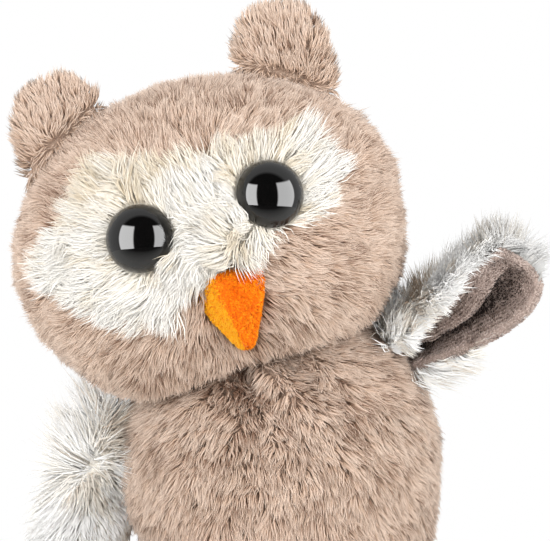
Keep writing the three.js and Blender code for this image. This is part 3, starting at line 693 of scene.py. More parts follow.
def parted_pile(points, fine, coarse, seed):
    """Where pile parts and lies apart, from fine and coarse waves in mm."""
    return ripple(points, fine * MM, seed) * ripple(points, coarse * MM, seed + 1)


def fading(distances, reach):
    """One at no distance, which fades smoothly to nothing beyond the reach."""
    return np.exp(-(distances / reach) ** 2)


def eased(values, start, end):
    """A soft step from 0 at the start to 1 at the end."""
    share = np.clip((values - start) / (end - start), 0, 1)
    return share * share * (3 - 2 * share)


def turns(steps, whole=math.pi / 2):
    """Even steps through a quarter turn, or through a whole of its own, both ends among them."""
    return [whole * i / steps for i in range(steps + 1)]


def smooth_line(points, steps, closed):
    """A smooth line through points, with so many places from each to the next."""
    points = np.array(points)
    if closed:
        chain = np.concatenate([points[-1:], points, points[:2]])
    else:
        chain = np.concatenate([points[:1], points, points[-1:]])
    before, here, after, later = chain[:-3], chain[1:-2], chain[2:-1], chain[3:]
    t = (np.arange(steps) / steps)[:, None, None]
    line = 0.5 * (
        2 * here + (after - before) * t + (2 * before - 5 * here + 4 * after - later) * t ** 2
        + (3 * here - before - 3 * after + later) * t ** 3
    )
    line = line.transpose(1, 0, 2).reshape(-1, points.shape[1])
    return line if closed else np.concatenate([line, points[-1:]])


# ---- Meshes ----


def mesh_from(bm, name):
    """Turns a bmesh into a mesh and frees it."""
    mesh = bpy.data.meshes.new(name)
    bm.to_mesh(mesh)
    bm.free()
    return mesh


def linked(name, data):
    """A new object in the scene with its data."""
    piece = bpy.data.objects.new(name, data)
    bpy.context.scene.collection.objects.link(piece)
    return piece


def show(mesh, name, material):
    """Puts a finished mesh into the scene with smooth faces and its material."""
    mesh.name = name
    mesh.materials.clear()
    mesh.materials.append(material)
    mesh.polygons.foreach_set("use_smooth", np.ones(len(mesh.polygons), dtype=bool))
    return linked(name, mesh)


def worked_out(piece):
    """The mesh that an object in work comes to, with the object and what it held removed."""
    held = piece.data
    mesh = bpy.data.meshes.new_from_object(piece.evaluated_get(bpy.context.evaluated_depsgraph_get()))
    bpy.data.objects.remove(piece)
    bpy.data.batch_remove([held])
    return mesh


def settled(mesh, kind, **settings):
    """The mesh that one modifier gives, with the modifier used up."""
    piece = linked("in_work", mesh)
    modifier = piece.modifiers.new("in_work", kind)
    for key, value in settings.items():
        setattr(modifier, key, value)
    return worked_out(piece)


def welded(bm):
    """Merges a bmesh's doubles, turns its faces outwards and makes it a mesh."""
    bmesh.ops.remove_doubles(bm, verts=bm.verts, dist=WELD)
    bmesh.ops.recalc_face_normals(bm, faces=bm.faces)
    return mesh_from(bm, "welded")


def cord_mesh(points, radius):
    """A round cord along a line of points, closed at both ends."""
    curve = bpy.data.curves.new("cord", "CURVE")
    curve.dimensions = "3D"
    curve.bevel_depth = radius
    curve.bevel_resolution = 4
    curve.use_fill_caps = True
    run = curve.splines.new("POLY")
    run.points.add(len(points) - 1)
    run.points.foreach_set("co", np.concatenate([points, np.ones((len(points), 1))], 1).ravel())
    mesh = worked_out(linked("in_work", curve))
    bm = bmesh.new()
    bm.from_mesh(mesh)
    bpy.data.meshes.remove(mesh)
    return welded(bm)


def formed_ball(form, fineness):
    """A ball whose points a form puts in their places."""
    bm = bmesh.new()
    bmesh.ops.create_icosphere(bm, subdivisions=fineness, radius=1)
    mesh = mesh_from(bm, "ball")
    set_coordinates(mesh, form(unit_rows(coordinates(mesh))))
    return mesh


def lathe(profile, steps):
    """A closed turned form from a profile of (radius, height) that starts and ends on the axis."""
    rows = len(profile) - 1
    bm = bmesh.new()
    bmesh.ops.create_grid(bm, x_segments=steps, y_segments=rows, size=1)
    for point in bm.verts:
        turn = math.tau * round((point.co.x + 1) / 2 * steps) / steps
        radius, height = profile[round((point.co.y + 1) / 2 * rows)]
        point.co = (radius * math.cos(turn), radius * math.sin(turn), height)
    return welded(bm)


def seam_cuts(axis, *places):
    """The planes, as (point, normal), on both sides of each seam that crosses an axis at these places."""
    normal = tuple(float(i == axis) for i in range(3))
    spots = [place + off for place in places for off in (-SEAM_HALF, SEAM_HALF)]
    return [(tuple(spot * share for share in normal), normal) for spot in spots]


def parted(mesh, cuts):
    """Cuts a mesh along planes given as (point, normal), and keeps all of it."""
    bm = bmesh.new()
    bm.from_mesh(mesh)
    for point, normal in cuts:
        bmesh.ops.bisect_plane(
            bm, geom=bm.verts[:] + bm.edges[:] + bm.faces[:], dist=CUT_REACH, plane_co=point, plane_no=normal,
        )
    bpy.data.meshes.remove(mesh)
    return mesh_from(bm, "parted")


def panel_of(mesh, keep):
    """The faces of a skin that a panel keeps, given the thickness of its knitted backing."""
    bm = bmesh.new()
    bm.from_mesh(mesh)
    bm.faces.ensure_lookup_table()
    bmesh.ops.delete(bm, geom=[bm.faces[i] for i in np.flatnonzero(~keep)], context="FACES")
    return settled(mesh_from(bm, "panel"), "SOLIDIFY", thickness=BACKING, offset=-1)


def carry(piece, body, slot, *nodes):
    """A finished piece rides on its body and stands for its nodes, which are hidden. Its slot is not used."""
    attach(piece, body)
    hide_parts(*nodes)
    return piece


# ---- Materials ----


def add_node(tree, kind, inputs=None, **settings):
    """Adds one shader node with its settings, whose inputs take numbers, colours or other nodes' sockets."""
    node = tree.nodes.new("ShaderNode" + kind)
    for key, value in settings.items():
        setattr(node, key, value)
    for key, value in (inputs or {}).items():
        if isinstance(value, bpy.types.NodeSocket):
            tree.links.new(value, node.inputs[key])
        else:
            node.inputs[key].default_value = value
    return node


def stops_on(node, stops):
    """Gives a colour ramp its stops of (place, linear colour)."""
    elements = node.color_ramp.elements
    while len(elements) > 1:
        elements.remove(elements[-1])
    elements[0].position = stops[0][0]
    elements[0].color = (*stops[0][1], 1)
    for place, colour in stops[1:]:
        elements.new(place).color = (*colour, 1)
    return node


def new_material(name, constants):
    """A material whose shader has these constant values."""
    material = bpy.data.materials.get(name) or bpy.data.materials.new(name)
    material.use_nodes = True
    tree = material.node_tree
    tree.nodes.clear()
    shader = add_node(tree, "BsdfPrincipled", constants)
    add_node(tree, "OutputMaterial", {"Surface": shader.outputs[0]})
    return material, tree, shader


def pile_material(name, stops, tones, sheen):
    """Brushed pile: each strand's own map gives its tone across and its length up."""
    material, tree, shader = new_material(name, {
        "Roughness": 0.72, "IOR": 1.45, "Specular IOR Level": 0.2, "Sheen Weight": sheen,
        "Sheen Roughness": 0.4,
    })
    own = add_node(tree, "UVMap", uv_map="OFBake")
    axes = add_node(tree, "SeparateXYZ", {0: own.outputs["UV"]})
    along = stops_on(add_node(tree, "ValToRGB", {0: axes.outputs["Y"]}), stops)
    tone = stops_on(add_node(tree, "ValToRGB", {0: axes.outputs["X"]}), tones)
    colour = add_node(
        tree, "Mix", {0: 1.0, 6: along.outputs[0], 7: tone.outputs[0]}, data_type="RGBA",
        blend_type="MULTIPLY",
    )
    tree.links.new(colour.outputs[2], shader.inputs["Base Color"])
    return material


def cloth_material(name, low, high, grain_mm, bump_mm, sheen):
    """Knitted or brushed cloth: two colours mottled at its grain, with a bump as deep as its loops."""
    material, tree, shader = new_material(
        name, {"Roughness": 0.85, "IOR": 1.45, "Sheen Weight": sheen, "Sheen Roughness": 0.45},
    )
    place = add_node(tree, "TexCoord").outputs["Object"]
    size = grain_mm * MM
    grain = add_node(
        tree, "TexNoise", {"Vector": place, "Scale": 1 / size, "Detail": 3.0, "Roughness": 0.6},
    )
    blotch = add_node(
        tree, "TexNoise", {"Vector": place, "Scale": 1 / (BLOTCH_GRAINS * size), "Detail": 2.0},
    )
    both = add_node(tree, "Math", {0: grain.outputs["Fac"], 1: blotch.outputs["Fac"]}, operation="ADD")
    middle = add_node(tree, "Math", {0: both.outputs[0], 1: 0.5}, operation="MULTIPLY")
    colour = add_node(tree, "ValToRGB", {0: middle.outputs[0]})
    bump = add_node(
        tree, "Bump", {"Strength": 0.7, "Distance": bump_mm * MM, "Height": grain.outputs["Fac"]},
    )
    tree.links.new(stops_on(colour, [(0.3, low), (0.7, high)]).outputs[0], shader.inputs["Base Color"])
    tree.links.new(bump.outputs[0], shader.inputs["Normal"])
    return material


def plain_cloth(name):
    """One of the cloths whose colours stay as they are."""
    low, high, *weave = CLOTHS[name]
    return cloth_material(name, linear(low), linear(high), *weave)


def plastic_material(name, constants, size, detail, stops):
    """Moulded plastic: an even colour that clouds a little within this size. Gives its cloud too."""
    material, tree, shader = new_material(name, constants)
    place = add_node(tree, "TexCoord").outputs["Object"]
    cloud = add_node(tree, "TexNoise", {"Vector": place, "Scale": 1 / size, "Detail": detail})
    colour = stops_on(add_node(tree, "ValToRGB", {0: cloud.outputs["Fac"]}), stops)
    tree.links.new(colour.outputs[0], shader.inputs["Base Color"])
    return material, tree, shader, cloud.outputs["Fac"]


# ---- Pile ----


def random_of(looks, name):
    """The random numbers of one pile."""
    return np.random.default_rng(looks.seed + SEEDS[name])


def scattered(mesh, density, rng, values=None):
    """Random roots spread evenly over a mesh, with the smooth direction out of it and any value at each."""
    mesh.calc_loop_triangles()
    corners = np.empty(len(mesh.loop_triangles) * 3, dtype=np.int32)
    mesh.loop_triangles.foreach_get("vertices", corners)
    corners = corners.reshape(-1, 3)
    points, normals = coordinates(mesh), rows_of(mesh.vertices, "normal")
    a, b, c = (points[corners[:, i]] for i in range(3))
    areas = np.linalg.norm(np.cross(b - a, c - a), axis=1) / 2
    count = int(areas.sum() / MM ** 2 * density)
    picks = rng.choice(len(areas), count, p=areas / areas.sum())
    u, v = rng.random((2, count, 1))
    u, v = np.where(u + v > 1, 1 - u, u), np.where(u + v > 1, 1 - v, v)
    corners = corners[picks]
    weights = (1 - u - v, u, v)
    roots = sum(w * points[corners[:, i]] for i, w in enumerate(weights))
    outward = unit_rows(sum(w * normals[corners[:, i]] for i, w in enumerate(weights)))
    if values is None:
        return roots, outward
    return roots, outward, sum(w[:, 0] * values[corners[:, i]] for i, w in enumerate(weights))


def along_surface(directions, normals):
    """Directions laid flat onto the surface."""
    return unit_rows(directions - normals * (directions * normals).sum(axis=1, keepdims=True))


def nearest_tuft(roots, middles):
    """Which tuft's middle each root is nearest to."""
    tree = kdtree.KDTree(len(middles))
    for i, middle in enumerate(middles):
        tree.insert(middle, i)
    tree.balance()
    return np.fromiter((tree.find(root)[1] for root in roots), dtype=np.int64, count=len(roots))


def closeness(normals):
    """How close the pile stands: fully where it faces forwards, thinner and coarser behind."""
    return BACK_SHARE + (1 - BACK_SHARE) * eased(-normals[:, 1], -BACK_BLEND, BACK_BLEND)


def lay_pile(roots, normals, lie, tone, rng, lay, length, width, lift=0.0):
    """Points, shading and map of one tapered, bent strand on each root, drawn together into pointed tufts."""
    count = len(roots)
    shares = STRAND_PARTS[len(lay["stands"])]
    sideways = np.cross(normals, lie)
    turn = rng.normal(0, lay["wander"], count)
    curl = rng.normal(0, lay["curl"], count)
    lengths = length * np.clip(rng.normal(1, LENGTH_SPREAD, count), *LENGTH_LIMITS)
    lines = [roots]
    for i, (share, stand) in enumerate(zip(shares, lay["stands"])):
        stand = stand + lift * (1 - LIFT_FADE_SHARE * i) + rng.normal(0, STAND_SPREAD, count)
        stand = np.minimum(stand, STEEPEST)
        bend = turn + curl * i
        flat = lie * np.cos(bend)[:, None] + sideways * np.sin(bend)[:, None]
        step = normals * np.sin(stand)[:, None] + flat * np.cos(stand)[:, None]
        lines.append(lines[-1] + step * (lengths * share)[:, None])
    for crowd, pull in lay["tufts"]:
        picks = rng.choice(count, max(2, count // crowd), replace=False)
        tuft = nearest_tuft(roots, roots[picks])
        grip = np.clip(pull * rng.uniform(*PULL_RANGE, len(picks)), 0, 0.95)[tuft]
        heads = [line[picks][tuft] for line in lines]
        for i, share in enumerate(np.cumsum(shares), start=1):
            gather = (grip * share ** PULL_POWER)[:, None]
            lines[i] = lines[i] * (1 - gather) + heads[i] * gather
        tone = tone + rng.normal(0, TUFT_TONE_SPREAD, len(picks))[tuft]
    for line in lines:
        line[:, 2] = np.maximum(line[:, 2], FLOOR_GAP)
    tone = np.clip(tone + rng.normal(0, lay["speckle"], count), 0.02, 0.98)
    thick = width * np.clip(rng.normal(1, WIDTH_SPREAD, count), *WIDTH_LIMITS) / 2
    axis = unit_rows(lines[-1] - lines[0])
    across = unit_rows(np.cross(axis, normals) + 1e-6)
    over = np.cross(axis, across)
    angle = rng.uniform(0, math.tau, count)[:, None] + np.arange(3) * math.tau / 3
    around = across[:, None] * np.cos(angle)[:, :, None] + over[:, None] * np.sin(angle)[:, :, None]
    glow = lay["glow"] * eased(-normals[:, 1], -1.0, -0.5)[:, None]
    lit = unit_rows(normals + glow * np.array(lay.get("lit_side", LIT_SIDE)))[:, None]

    def end(line, height):
        """The single point that a strand has at its root or its tip."""
        return np.concatenate([line[:, None], lit, np.stack([tone, np.full(count, height)], 1)[:, None]], 2)

    rings = [end(lines[0], 0.01)]
    for ring, height in enumerate(np.cumsum(shares)[:-1]):
        taper = UPPER_TAPER_SHARE if ring else 1.0
        places = lines[ring + 1][:, None] + around * (thick * taper)[:, None, None]
        faced = lit * lay["soft"] + around * (1 - lay["soft"])
        tones = tone[:, None] + np.array([-1, 0, 1]) * 0.004
        maps = np.stack([tones, np.full((count, 3), height)], 2)
        rings.append(np.concatenate([places, faced, maps], 2))
    return np.concatenate([*rings, end(lines[-1], 0.99)], 1)


def sew_pile(name, material, strands):
    """Closes laid strands into spindles and shows them as one pile."""
    points, faced, spots = strands[..., :3], strands[..., 3:6], strands[..., 6:]
    count, per = points.shape[:2]
    last, top = per - 1, per - 4
    faces = [(0, 1 + (k + 1) % 3, 1 + k) for k in range(3)]
    for low in range(1, top, 3):
        high = low + 3
        for k in range(3):
            faces.append((low + k, low + (k + 1) % 3, high + k))
            faces.append((low + (k + 1) % 3, high + (k + 1) % 3, high + k))
    faces += [(top + k, top + (k + 1) % 3, last) for k in range(3)]
    faces = (np.array(faces)[None] + (np.arange(count) * per)[:, None, None]).reshape(-1, 3)
    mesh = bpy.data.meshes.new(name)
    mesh.vertices.add(count * per)
    mesh.vertices.foreach_set("co", points.astype(np.float32).ravel())
    mesh.loops.add(len(faces) * 3)
    mesh.loops.foreach_set("vertex_index", faces.astype(np.int32).ravel())
    mesh.polygons.add(len(faces))
    mesh.polygons.foreach_set("loop_start", np.arange(0, len(faces) * 3, 3, dtype=np.int32))
    mesh.update(calc_edges=True)
    own = mesh.uv_layers.new(name="OFBake")
    own.uv.foreach_set("vector", spots.reshape(-1, 2)[faces.ravel()].astype(np.float32).ravel())
    piece = show(mesh, name, material)
    mesh.normals_split_custom_set_from_vertices(unit_rows(faced.reshape(-1, 3)))
    return piece


def grow_pile(name, material, *settings):
    """Lays and sews the pile of one piece."""
    return sew_pile(name, material, lay_pile(*settings))


# ---- Forms ----


def head_place(sizes):
    """The head's own frame, about the neck's middle."""
    return (
        Matrix.Translation((0, 0, sizes.ball_height))
        @ Matrix.Rotation(sizes.head_roll, 4, "Y")
        @ Matrix.Rotation(sizes.head_yaw, 4, "Z")
    )


def head_halves(sizes, inset):
    """The head's half sizes, drawn in by an inset."""
    return np.array([sizes.head_width / 2, sizes.head_depth / 2, sizes.head_height / 2]) - inset


def face_depth(sizes, across, up, inset=0.0):
    """The front of the head's plain form at a place across and up from its middle."""
    half_width, half_depth, half_height = head_halves(sizes, inset)
    share = up / half_height
    power = CROWN_POWER if share > 0 else JAW_POWER
    taper = max(0, 1 - abs(share) ** power) ** (1 / power)
    return -sizes.head_forward - half_depth * math.sqrt(taper ** 2 - (across / half_width) ** 2)


def head_points(sizes, units, inset):
    """Points of the head: a round crown, a fuller jaw, two swollen cheeks and a crease under the beak."""
    halves = head_halves(sizes, inset)
    power = np.where(units[:, 2] > 0, CROWN_POWER, JAW_POWER)
    around = np.hypot(units[:, 0], units[:, 1])
    spread = around ** (2 / power) / np.maximum(around, 1e-9)
    middle = np.array([0, -sizes.head_forward, sizes.head_rise])
    points = np.stack(
        [units[:, 0] * spread, units[:, 1] * spread, signed_power(units[:, 2], 2 / power)], 1,
    ) * halves + middle
    outward = unit_rows(points - middle)
    for side, swell in CHEEK_SWELLS:
        centre = np.array(
            [side * CHEEK_SIDE, face_depth(sizes, CHEEK_SIDE, -CHEEK_DROP), sizes.head_rise - CHEEK_DROP],
        )
        near = fading(np.linalg.norm(points - centre, axis=1), CHEEK_REACH)
        points = points + outward * (swell * near)[:, None]
    for across, up, bulge, reach in HEAD_BULGES:
        centre = middle + (across * MM, 0, up * MM)
        near = fading(np.linalg.norm(points - centre, axis=1), reach * MM)
        points = points + outward * (bulge * MM * near)[:, None]
    front = np.maximum(0, -units[:, 1]) * np.maximum(0, -units[:, 2]) * 2
    crease = fading(points[:, 0], CHIN_CREASE_WIDTH)
    return points - outward * (CHIN_CREASE * front * crease)[:, None]


def off_the_ball(points, radius):
    """Points pushed straight out of the round socket under the head."""
    far = np.linalg.norm(points, axis=1)
    return points * (np.maximum(far, radius) / np.maximum(far, 1e-9))[:, None]


def mask_line(sizes):
    """The mask's cloth outline on the head as a smooth closed line of points across and up."""
    halves = (MASK_HALF_WIDTH - MASK_REACH[0], MASK_HALF_HEIGHT - MASK_REACH[1])
    return smooth_line(MASK_OUTLINE, 4, True) * halves + (MASK_SHIFT, sizes.head_rise + MASK_RISE)


def in_mask(sizes, points):
    """Which points of the head, in its own frame, lie in the mask."""
    line = mask_line(sizes)
    across, up = points[:, 0], points[:, 2]
    inside = np.zeros(len(points), dtype=bool)
    for (x0, z0), (x1, z1) in zip(line, np.roll(line, -1, 0)):
        if z0 == z1:
            continue
        crosses = (z0 > up) != (z1 > up)
        inside ^= crosses & (across < (x1 - x0) * (up - z0) / (z1 - z0) + x0)
    return inside & (points[:, 1] < -sizes.head_forward)


def head_panels(sizes, points):
    """Which panel each point of the head, in its own frame, belongs to, by name."""
    x, y, z = points.T
    mask = in_mask(sizes, points)
    gusset = (np.abs(x) < GUSSET_SIDE) & ((z > sizes.head_rise) | (y > 0))
    return {
        "mask_left": mask & (x > 0),
        "mask_right": mask & (x <= 0),
        "head_crown": ~mask & gusset & (y < GUSSET_SEAM_BACK) & (z > sizes.head_rise),
        "head_back": ~mask & gusset & ~((y < GUSSET_SEAM_BACK) & (z > sizes.head_rise)),
        "cheek_left": ~mask & ~gusset & (x > 0),
        "cheek_right": ~mask & ~gusset & (x <= 0),
    }


def in_head(sizes, points, share):
    """Which points in the row frame lie within a share of the head's plain form."""
    here = placed(points, head_place(sizes).inverted())
    halves = head_halves(sizes, 0) * share
    around = np.hypot(here[:, 0] / halves[0], (here[:, 1] + sizes.head_forward) / halves[1])
    up = (here[:, 2] - sizes.head_rise) / halves[2]
    power = np.where(up > 0, CROWN_POWER, JAW_POWER)
    return around ** power + np.abs(up) ** power < 1

def crown_height(sizes, points):
    """How high the head's plain crown is at points of its own frame."""
    halves = head_halves(sizes, 0)
    rest = 1 - (points[:, 0] / halves[0]) ** 2 - ((points[:, 1] + sizes.head_forward) / halves[1]) ** 2
    return sizes.head_rise + halves[2] * np.sqrt(np.maximum(rest, 0))
def body_reach(sizes, heights, inset):
    """The body's radius at each height, from its base up to the top of its round."""
    radius, foot = sizes.body_radius - inset, sizes.base_radius - inset
    share = np.clip((sizes.ball_height - heights) / (sizes.ball_height - BASE_EDGE), 0, 1)
    bell = radius - (radius - foot) * share ** BELL_POWER
    top = np.sqrt(np.maximum(0, radius ** 2 - np.maximum(0, heights - sizes.ball_height) ** 2))
    return np.where(heights > sizes.ball_height, top, bell)


def off_the_body(sizes, points, gap):
    """Points pushed straight out of the body, to stay a gap clear of its cloth."""
    points = points.copy()
    pivot = np.array([0, 0, sizes.ball_height])
    high = points[:, 2] > sizes.ball_height
    far = np.linalg.norm(points - pivot, axis=1)
    need = np.maximum(far, sizes.body_radius + gap) / np.maximum(far, 1e-9)
    points[high] = (pivot + (points - pivot) * need[:, None])[high]
    around = np.hypot(points[:, 0], points[:, 1])
    need = np.maximum(around, body_reach(sizes, points[:, 2], 0) + gap) / np.maximum(around, 1e-9)
    points[~high, :2] = (points[:, :2] * need[:, None])[~high]
    return points


def fold_depth(points):
    """How deep the neck's folds draw the body's front in at each point, and 0 to 1 how near one is."""
    depth = np.zeros(len(points))
    near = np.zeros(len(points))
    place = points[:, (0, 2)]
    for start, end, deep, wide in BODY_FOLDS:
        start, end = np.array(start) * MM, np.array(end) * MM
        along = np.clip((place - start) @ (end - start) / ((end - start) @ (end - start)), 0, 1)
        off = np.linalg.norm(place - start - along[:, None] * (end - start), axis=1)
        here = fading(off, wide * MM) * (1 - 0.75 * along) * (points[:, 1] < 0)
        depth = depth + here * deep * MM
        near = near + here * np.sign(deep)
    return depth, np.clip(near, -1, 1)


def body_skin(sizes):
    """The body's whole cloth, turned about Z, with the folds below its neck."""
    inset = sizes.pile_root
    radius, foot = sizes.body_radius - inset, sizes.base_radius - inset
    profile = [
        (radius * math.sin(turn), sizes.ball_height + radius * math.cos(turn)) for turn in turns(BODY_ROWS)
    ]
    for i in range(1, BODY_ROWS + 1):
        height = sizes.ball_height - (sizes.ball_height - BASE_EDGE) * i / BODY_ROWS
        profile.append((float(body_reach(sizes, np.array([height]), inset)[0]), height))
    for turn in turns(RIM_STEPS)[1:]:
        profile.append((foot - BASE_EDGE * (1 - math.cos(turn)), BASE_EDGE * (1 - math.sin(turn))))
    mesh = lathe(profile, BODY_STEPS)
    points = coordinates(mesh)
    outward = unit_rows(points - (0, 0, sizes.ball_height))
    depth = fold_depth(points)[0]
    for side, height, deep, high in BODY_SIDES:
        sideways = np.clip(points[:, 0] * side / sizes.body_radius, 0, 1) ** 2
        depth = depth + deep * MM * sideways * fading(points[:, 2] / MM - height, high)
    set_coordinates(mesh, points - outward * depth[:, None])
    return mesh


def wing_half_widths(sizes, along):
    """A wing's half width at shares of its length: a narrow root, a full blade and a round tip."""
    rise = np.sin(math.pi / 2 * np.clip(along / WING_FULL_SHARE, 0, 1))
    root = sizes.wing_root_half_width + (sizes.wing_half_width - sizes.wing_root_half_width) * rise
    past = np.clip((along - WING_FULL_SHARE) / (1 - WING_FULL_SHARE), 0, 1)
    return np.where(along < WING_FULL_SHARE, root, sizes.wing_half_width * np.sqrt(1 - past ** 2))


def wing_radii(sizes, along):
    """The radius that a wing is cupped to at shares of its length."""
    return sizes.wing_root_cup + (sizes.wing_cup - sizes.wing_root_cup) * np.sin(math.pi / 2 * along)


def wing_points(sizes, along, across, height):
    """Points of a wing: along its length, across it from -1 to 1, at a height over the lining's face."""
    radius = wing_radii(sizes, along)
    turn = across * wing_half_widths(sizes, along) / radius
    droop = sizes.wing_droop * along ** 2
    return np.stack(
        [
            sizes.wing_length * along, (radius + height) * np.sin(turn),
            (radius + height) * np.cos(turn) - radius - droop,
        ], 1,
    )


def wing_bent(sizes, side, points):
    """Points of a wing in its own frame, with the raised wing's root bent up."""
    points = points.copy()
    if side == "left":
        points[:, 1] -= WING_BEND * (1 - np.clip(points[:, 0] / sizes.wing_length, 0, 1)) ** 2
    return points


def wing_place(sizes, side):
    """Where a wing's root is sewn on, and how it is held."""
    hold = {key: math.radians(value) for key, value in WING_HOLDS[side].items()}
    reach = sizes.body_radius + WING_SEAT
    root = Vector((
        reach * math.cos(hold["elevation"]) * math.cos(hold["azimuth"]),
        reach * math.cos(hold["elevation"]) * math.sin(hold["azimuth"]),
        reach * math.sin(hold["elevation"]) + sizes.ball_height,
    ))
    return (
        Matrix.Translation(root)
        @ Matrix.Rotation(hold["sweep"], 4, "Z")
        @ Matrix.Rotation(-hold["lift"], 4, "Y")
        @ Matrix.Rotation(hold["twist"], 4, "X")
    )


def wing_grid(fineness):
    """A flat grid with the share along a wing and the share across it of each of its points."""
    bm = bmesh.new()
    bmesh.ops.create_grid(bm, x_segments=72, y_segments=fineness, size=1)
    mesh = mesh_from(bm, "wing")
    flat = coordinates(mesh)
    return mesh, (flat[:, 0] + 1) / 2 * WING_LAST_SHARE, flat[:, 1]


def cover_mesh(sizes, side):
    """The outer face of a wing's cover, whose edges are tucked into the hem."""
    mesh, along, across = wing_grid(96)
    tucked = np.maximum(np.abs(across) ** 8, eased(along, 0.86, WING_LAST_SHARE))
    height = COVER_HEIGHT - COVER_TUCK * tucked
    if side == "left":
        height = height - COVER_LOW * eased(across, 0.2, 0.7)
    points = wing_bent(sizes, side, wing_points(sizes, along, across, height))
    set_coordinates(mesh, off_the_body(sizes, placed(points, wing_place(sizes, side)), CLOTH_GAP))
    return mesh


def lining_mesh(sizes, side):
    """The face of a wing's lining in its cup, with each point's share of the way across the cloth."""
    mesh, along, across = wing_grid(150)
    radius = wing_radii(sizes, along)
    reach = wing_half_widths(sizes, along) / radius
    inner = (radius - LINING_INSET)[:, None]
    laid = np.stack([np.sin(across * reach), np.cos(across * reach)], 1) * inner
    if side == "left":
        line = smooth_line(LINING_FOLD, 12, False)
        run = np.concatenate([[0], np.cumsum(np.linalg.norm(np.diff(line, axis=0), axis=1))])
        at = (across + 1) / 2 * run[-1]
        rim = np.cos(reach)
        down = np.interp(at, run, line[:, 1])
        hung = np.stack([np.sin(reach) * np.interp(at, run, line[:, 0]), rim + (1 - rim) * down], 1) * inner
        share = (eased(along, *FLAP_START) * (1 - eased(along, *FLAP_END)))[:, None]
        laid = laid * (1 - share) + hung * share
    down = laid[:, 1] - radius - sizes.wing_droop * along ** 2
    points = wing_bent(sizes, side, np.stack([sizes.wing_length * along, laid[:, 0], down], 1))
    set_coordinates(mesh, off_the_body(sizes, placed(points, wing_place(sizes, side)), CLOTH_GAP))
    return mesh, across


def hem_mesh(sizes, side):
    """The rolled hem that runs from a wing's root along one edge, round the tip and back."""
    rise = HEM_START + (WING_LAST_SHARE - HEM_START) * np.sin(np.linspace(0, math.pi / 2, 60))
    tip = np.linspace(0.8, -0.8, 9)
    along = np.concatenate([rise, np.full(len(tip), WING_LAST_SHARE), rise[::-1]])
    across = np.concatenate([np.ones(len(rise)), tip, -np.ones(len(rise))])
    line = wing_bent(sizes, side, wing_points(sizes, along, across, HEM_HEIGHT))
    line = placed(line, wing_place(sizes, side))
    for _ in range(6):
        line[1:-1] = (line[:-2] + 2 * line[1:-1] + line[2:]) / 4
    return cord_mesh(off_the_body(sizes, line, HEM_RADIUS + HEM_GAP), HEM_RADIUS)


def ear_across(sizes, side):
    """How far an ear's middle is across the head."""
    return (sizes.ear_spacing / 2 if side == "left" else -sizes.ear_spacing / 2) + sizes.ear_shift


def ear_mesh(sizes, side, splay, inset):
    """A rounded tab that rests on the head's crown, in the head's frame."""
    middle = np.array([ear_across(sizes, side), -sizes.head_forward, sizes.head_rise + sizes.ear_top])
    middle[2] -= sizes.ear_height / 2
    turn = Matrix.Rotation(splay, 4, "Y")

    def form(units):
        powers = (np.abs(units) ** EAR_SQUARENESS).sum(axis=1) ** (-1 / EAR_SQUARENESS)
        points = np.stack(
            [
                (sizes.ear_width / 2 - inset) * units[:, 0] * powers,
                (sizes.ear_depth / 2 - inset) * units[:, 1],
                (sizes.ear_height / 2 - inset) * units[:, 2] * powers,
            ], 1,
        )
        points = turned(points, turn) + middle
        points[:, 2] = np.maximum(points[:, 2], crown_height(sizes, points) + EAR_GAP)
        return points

    return formed_ball(form, BALL_FINENESS)


def beak_place(sizes):
    """The beak's own frame in the head's."""
    seat = (0, face_depth(sizes, 0, -sizes.beak_drop), sizes.head_rise - sizes.beak_drop)
    return Matrix.Translation(seat) @ Matrix.Rotation(BEAK_TURN, 4, "Y")


def beak_taper(height, tip, top):
    """How wide or deep the beak is at each height, from -1 at its tip to 1 at its top."""
    return tip + (top - tip) * (np.clip(height, -1, 1) + 1) / 2


def beak_mesh(sizes, inset):
    """A plump cone that hangs over the chin, with flat faces and a soft ridge, in the head's frame."""
    halves = np.array([sizes.beak_width, sizes.beak_depth, sizes.beak_height]) / 2 - inset
    place = beak_place(sizes)

    def form(units):
        height = signed_power(units[:, 2], 0.8)
        around = np.maximum(np.hypot(units[:, 0], units[:, 1]), 1e-9)
        full = around ** (BEAK_FULLNESS - 1)
        wide = beak_taper(height, BEAK_TIP_SHARE, BEAK_TOP_SHARE) * full
        deep = beak_taper(height, BEAK_TIP_DEPTH_SHARE, BEAK_TOP_DEPTH_SHARE) * full
        lean = np.where(height > 0, BEAK_LEAN_SHARE, BEAK_HOOK_SHARE) * height
        ridge = 1 + BEAK_RIDGE_SHARE * np.maximum(0, -units[:, 1]) ** 3
        flat = np.zeros(len(units))
        for angle in BEAK_FACETS:
            turn = math.radians(angle)
            faced = units[:, 0] * math.sin(turn) - units[:, 1] * math.cos(turn)
            flat += np.maximum(faced / around, 0) ** BEAK_CORNER_POWER
        facet = np.maximum(flat, 1e-9) ** (-1 / BEAK_CORNER_POWER)
        points = np.stack(
            [
                halves[0] * units[:, 0] * wide * facet,
                halves[1] * (units[:, 1] * deep * ridge * facet + lean),
                halves[2] * height,
            ], 1,
        )
        return placed(points, place)

    return formed_ball(form, BALL_FINENESS)


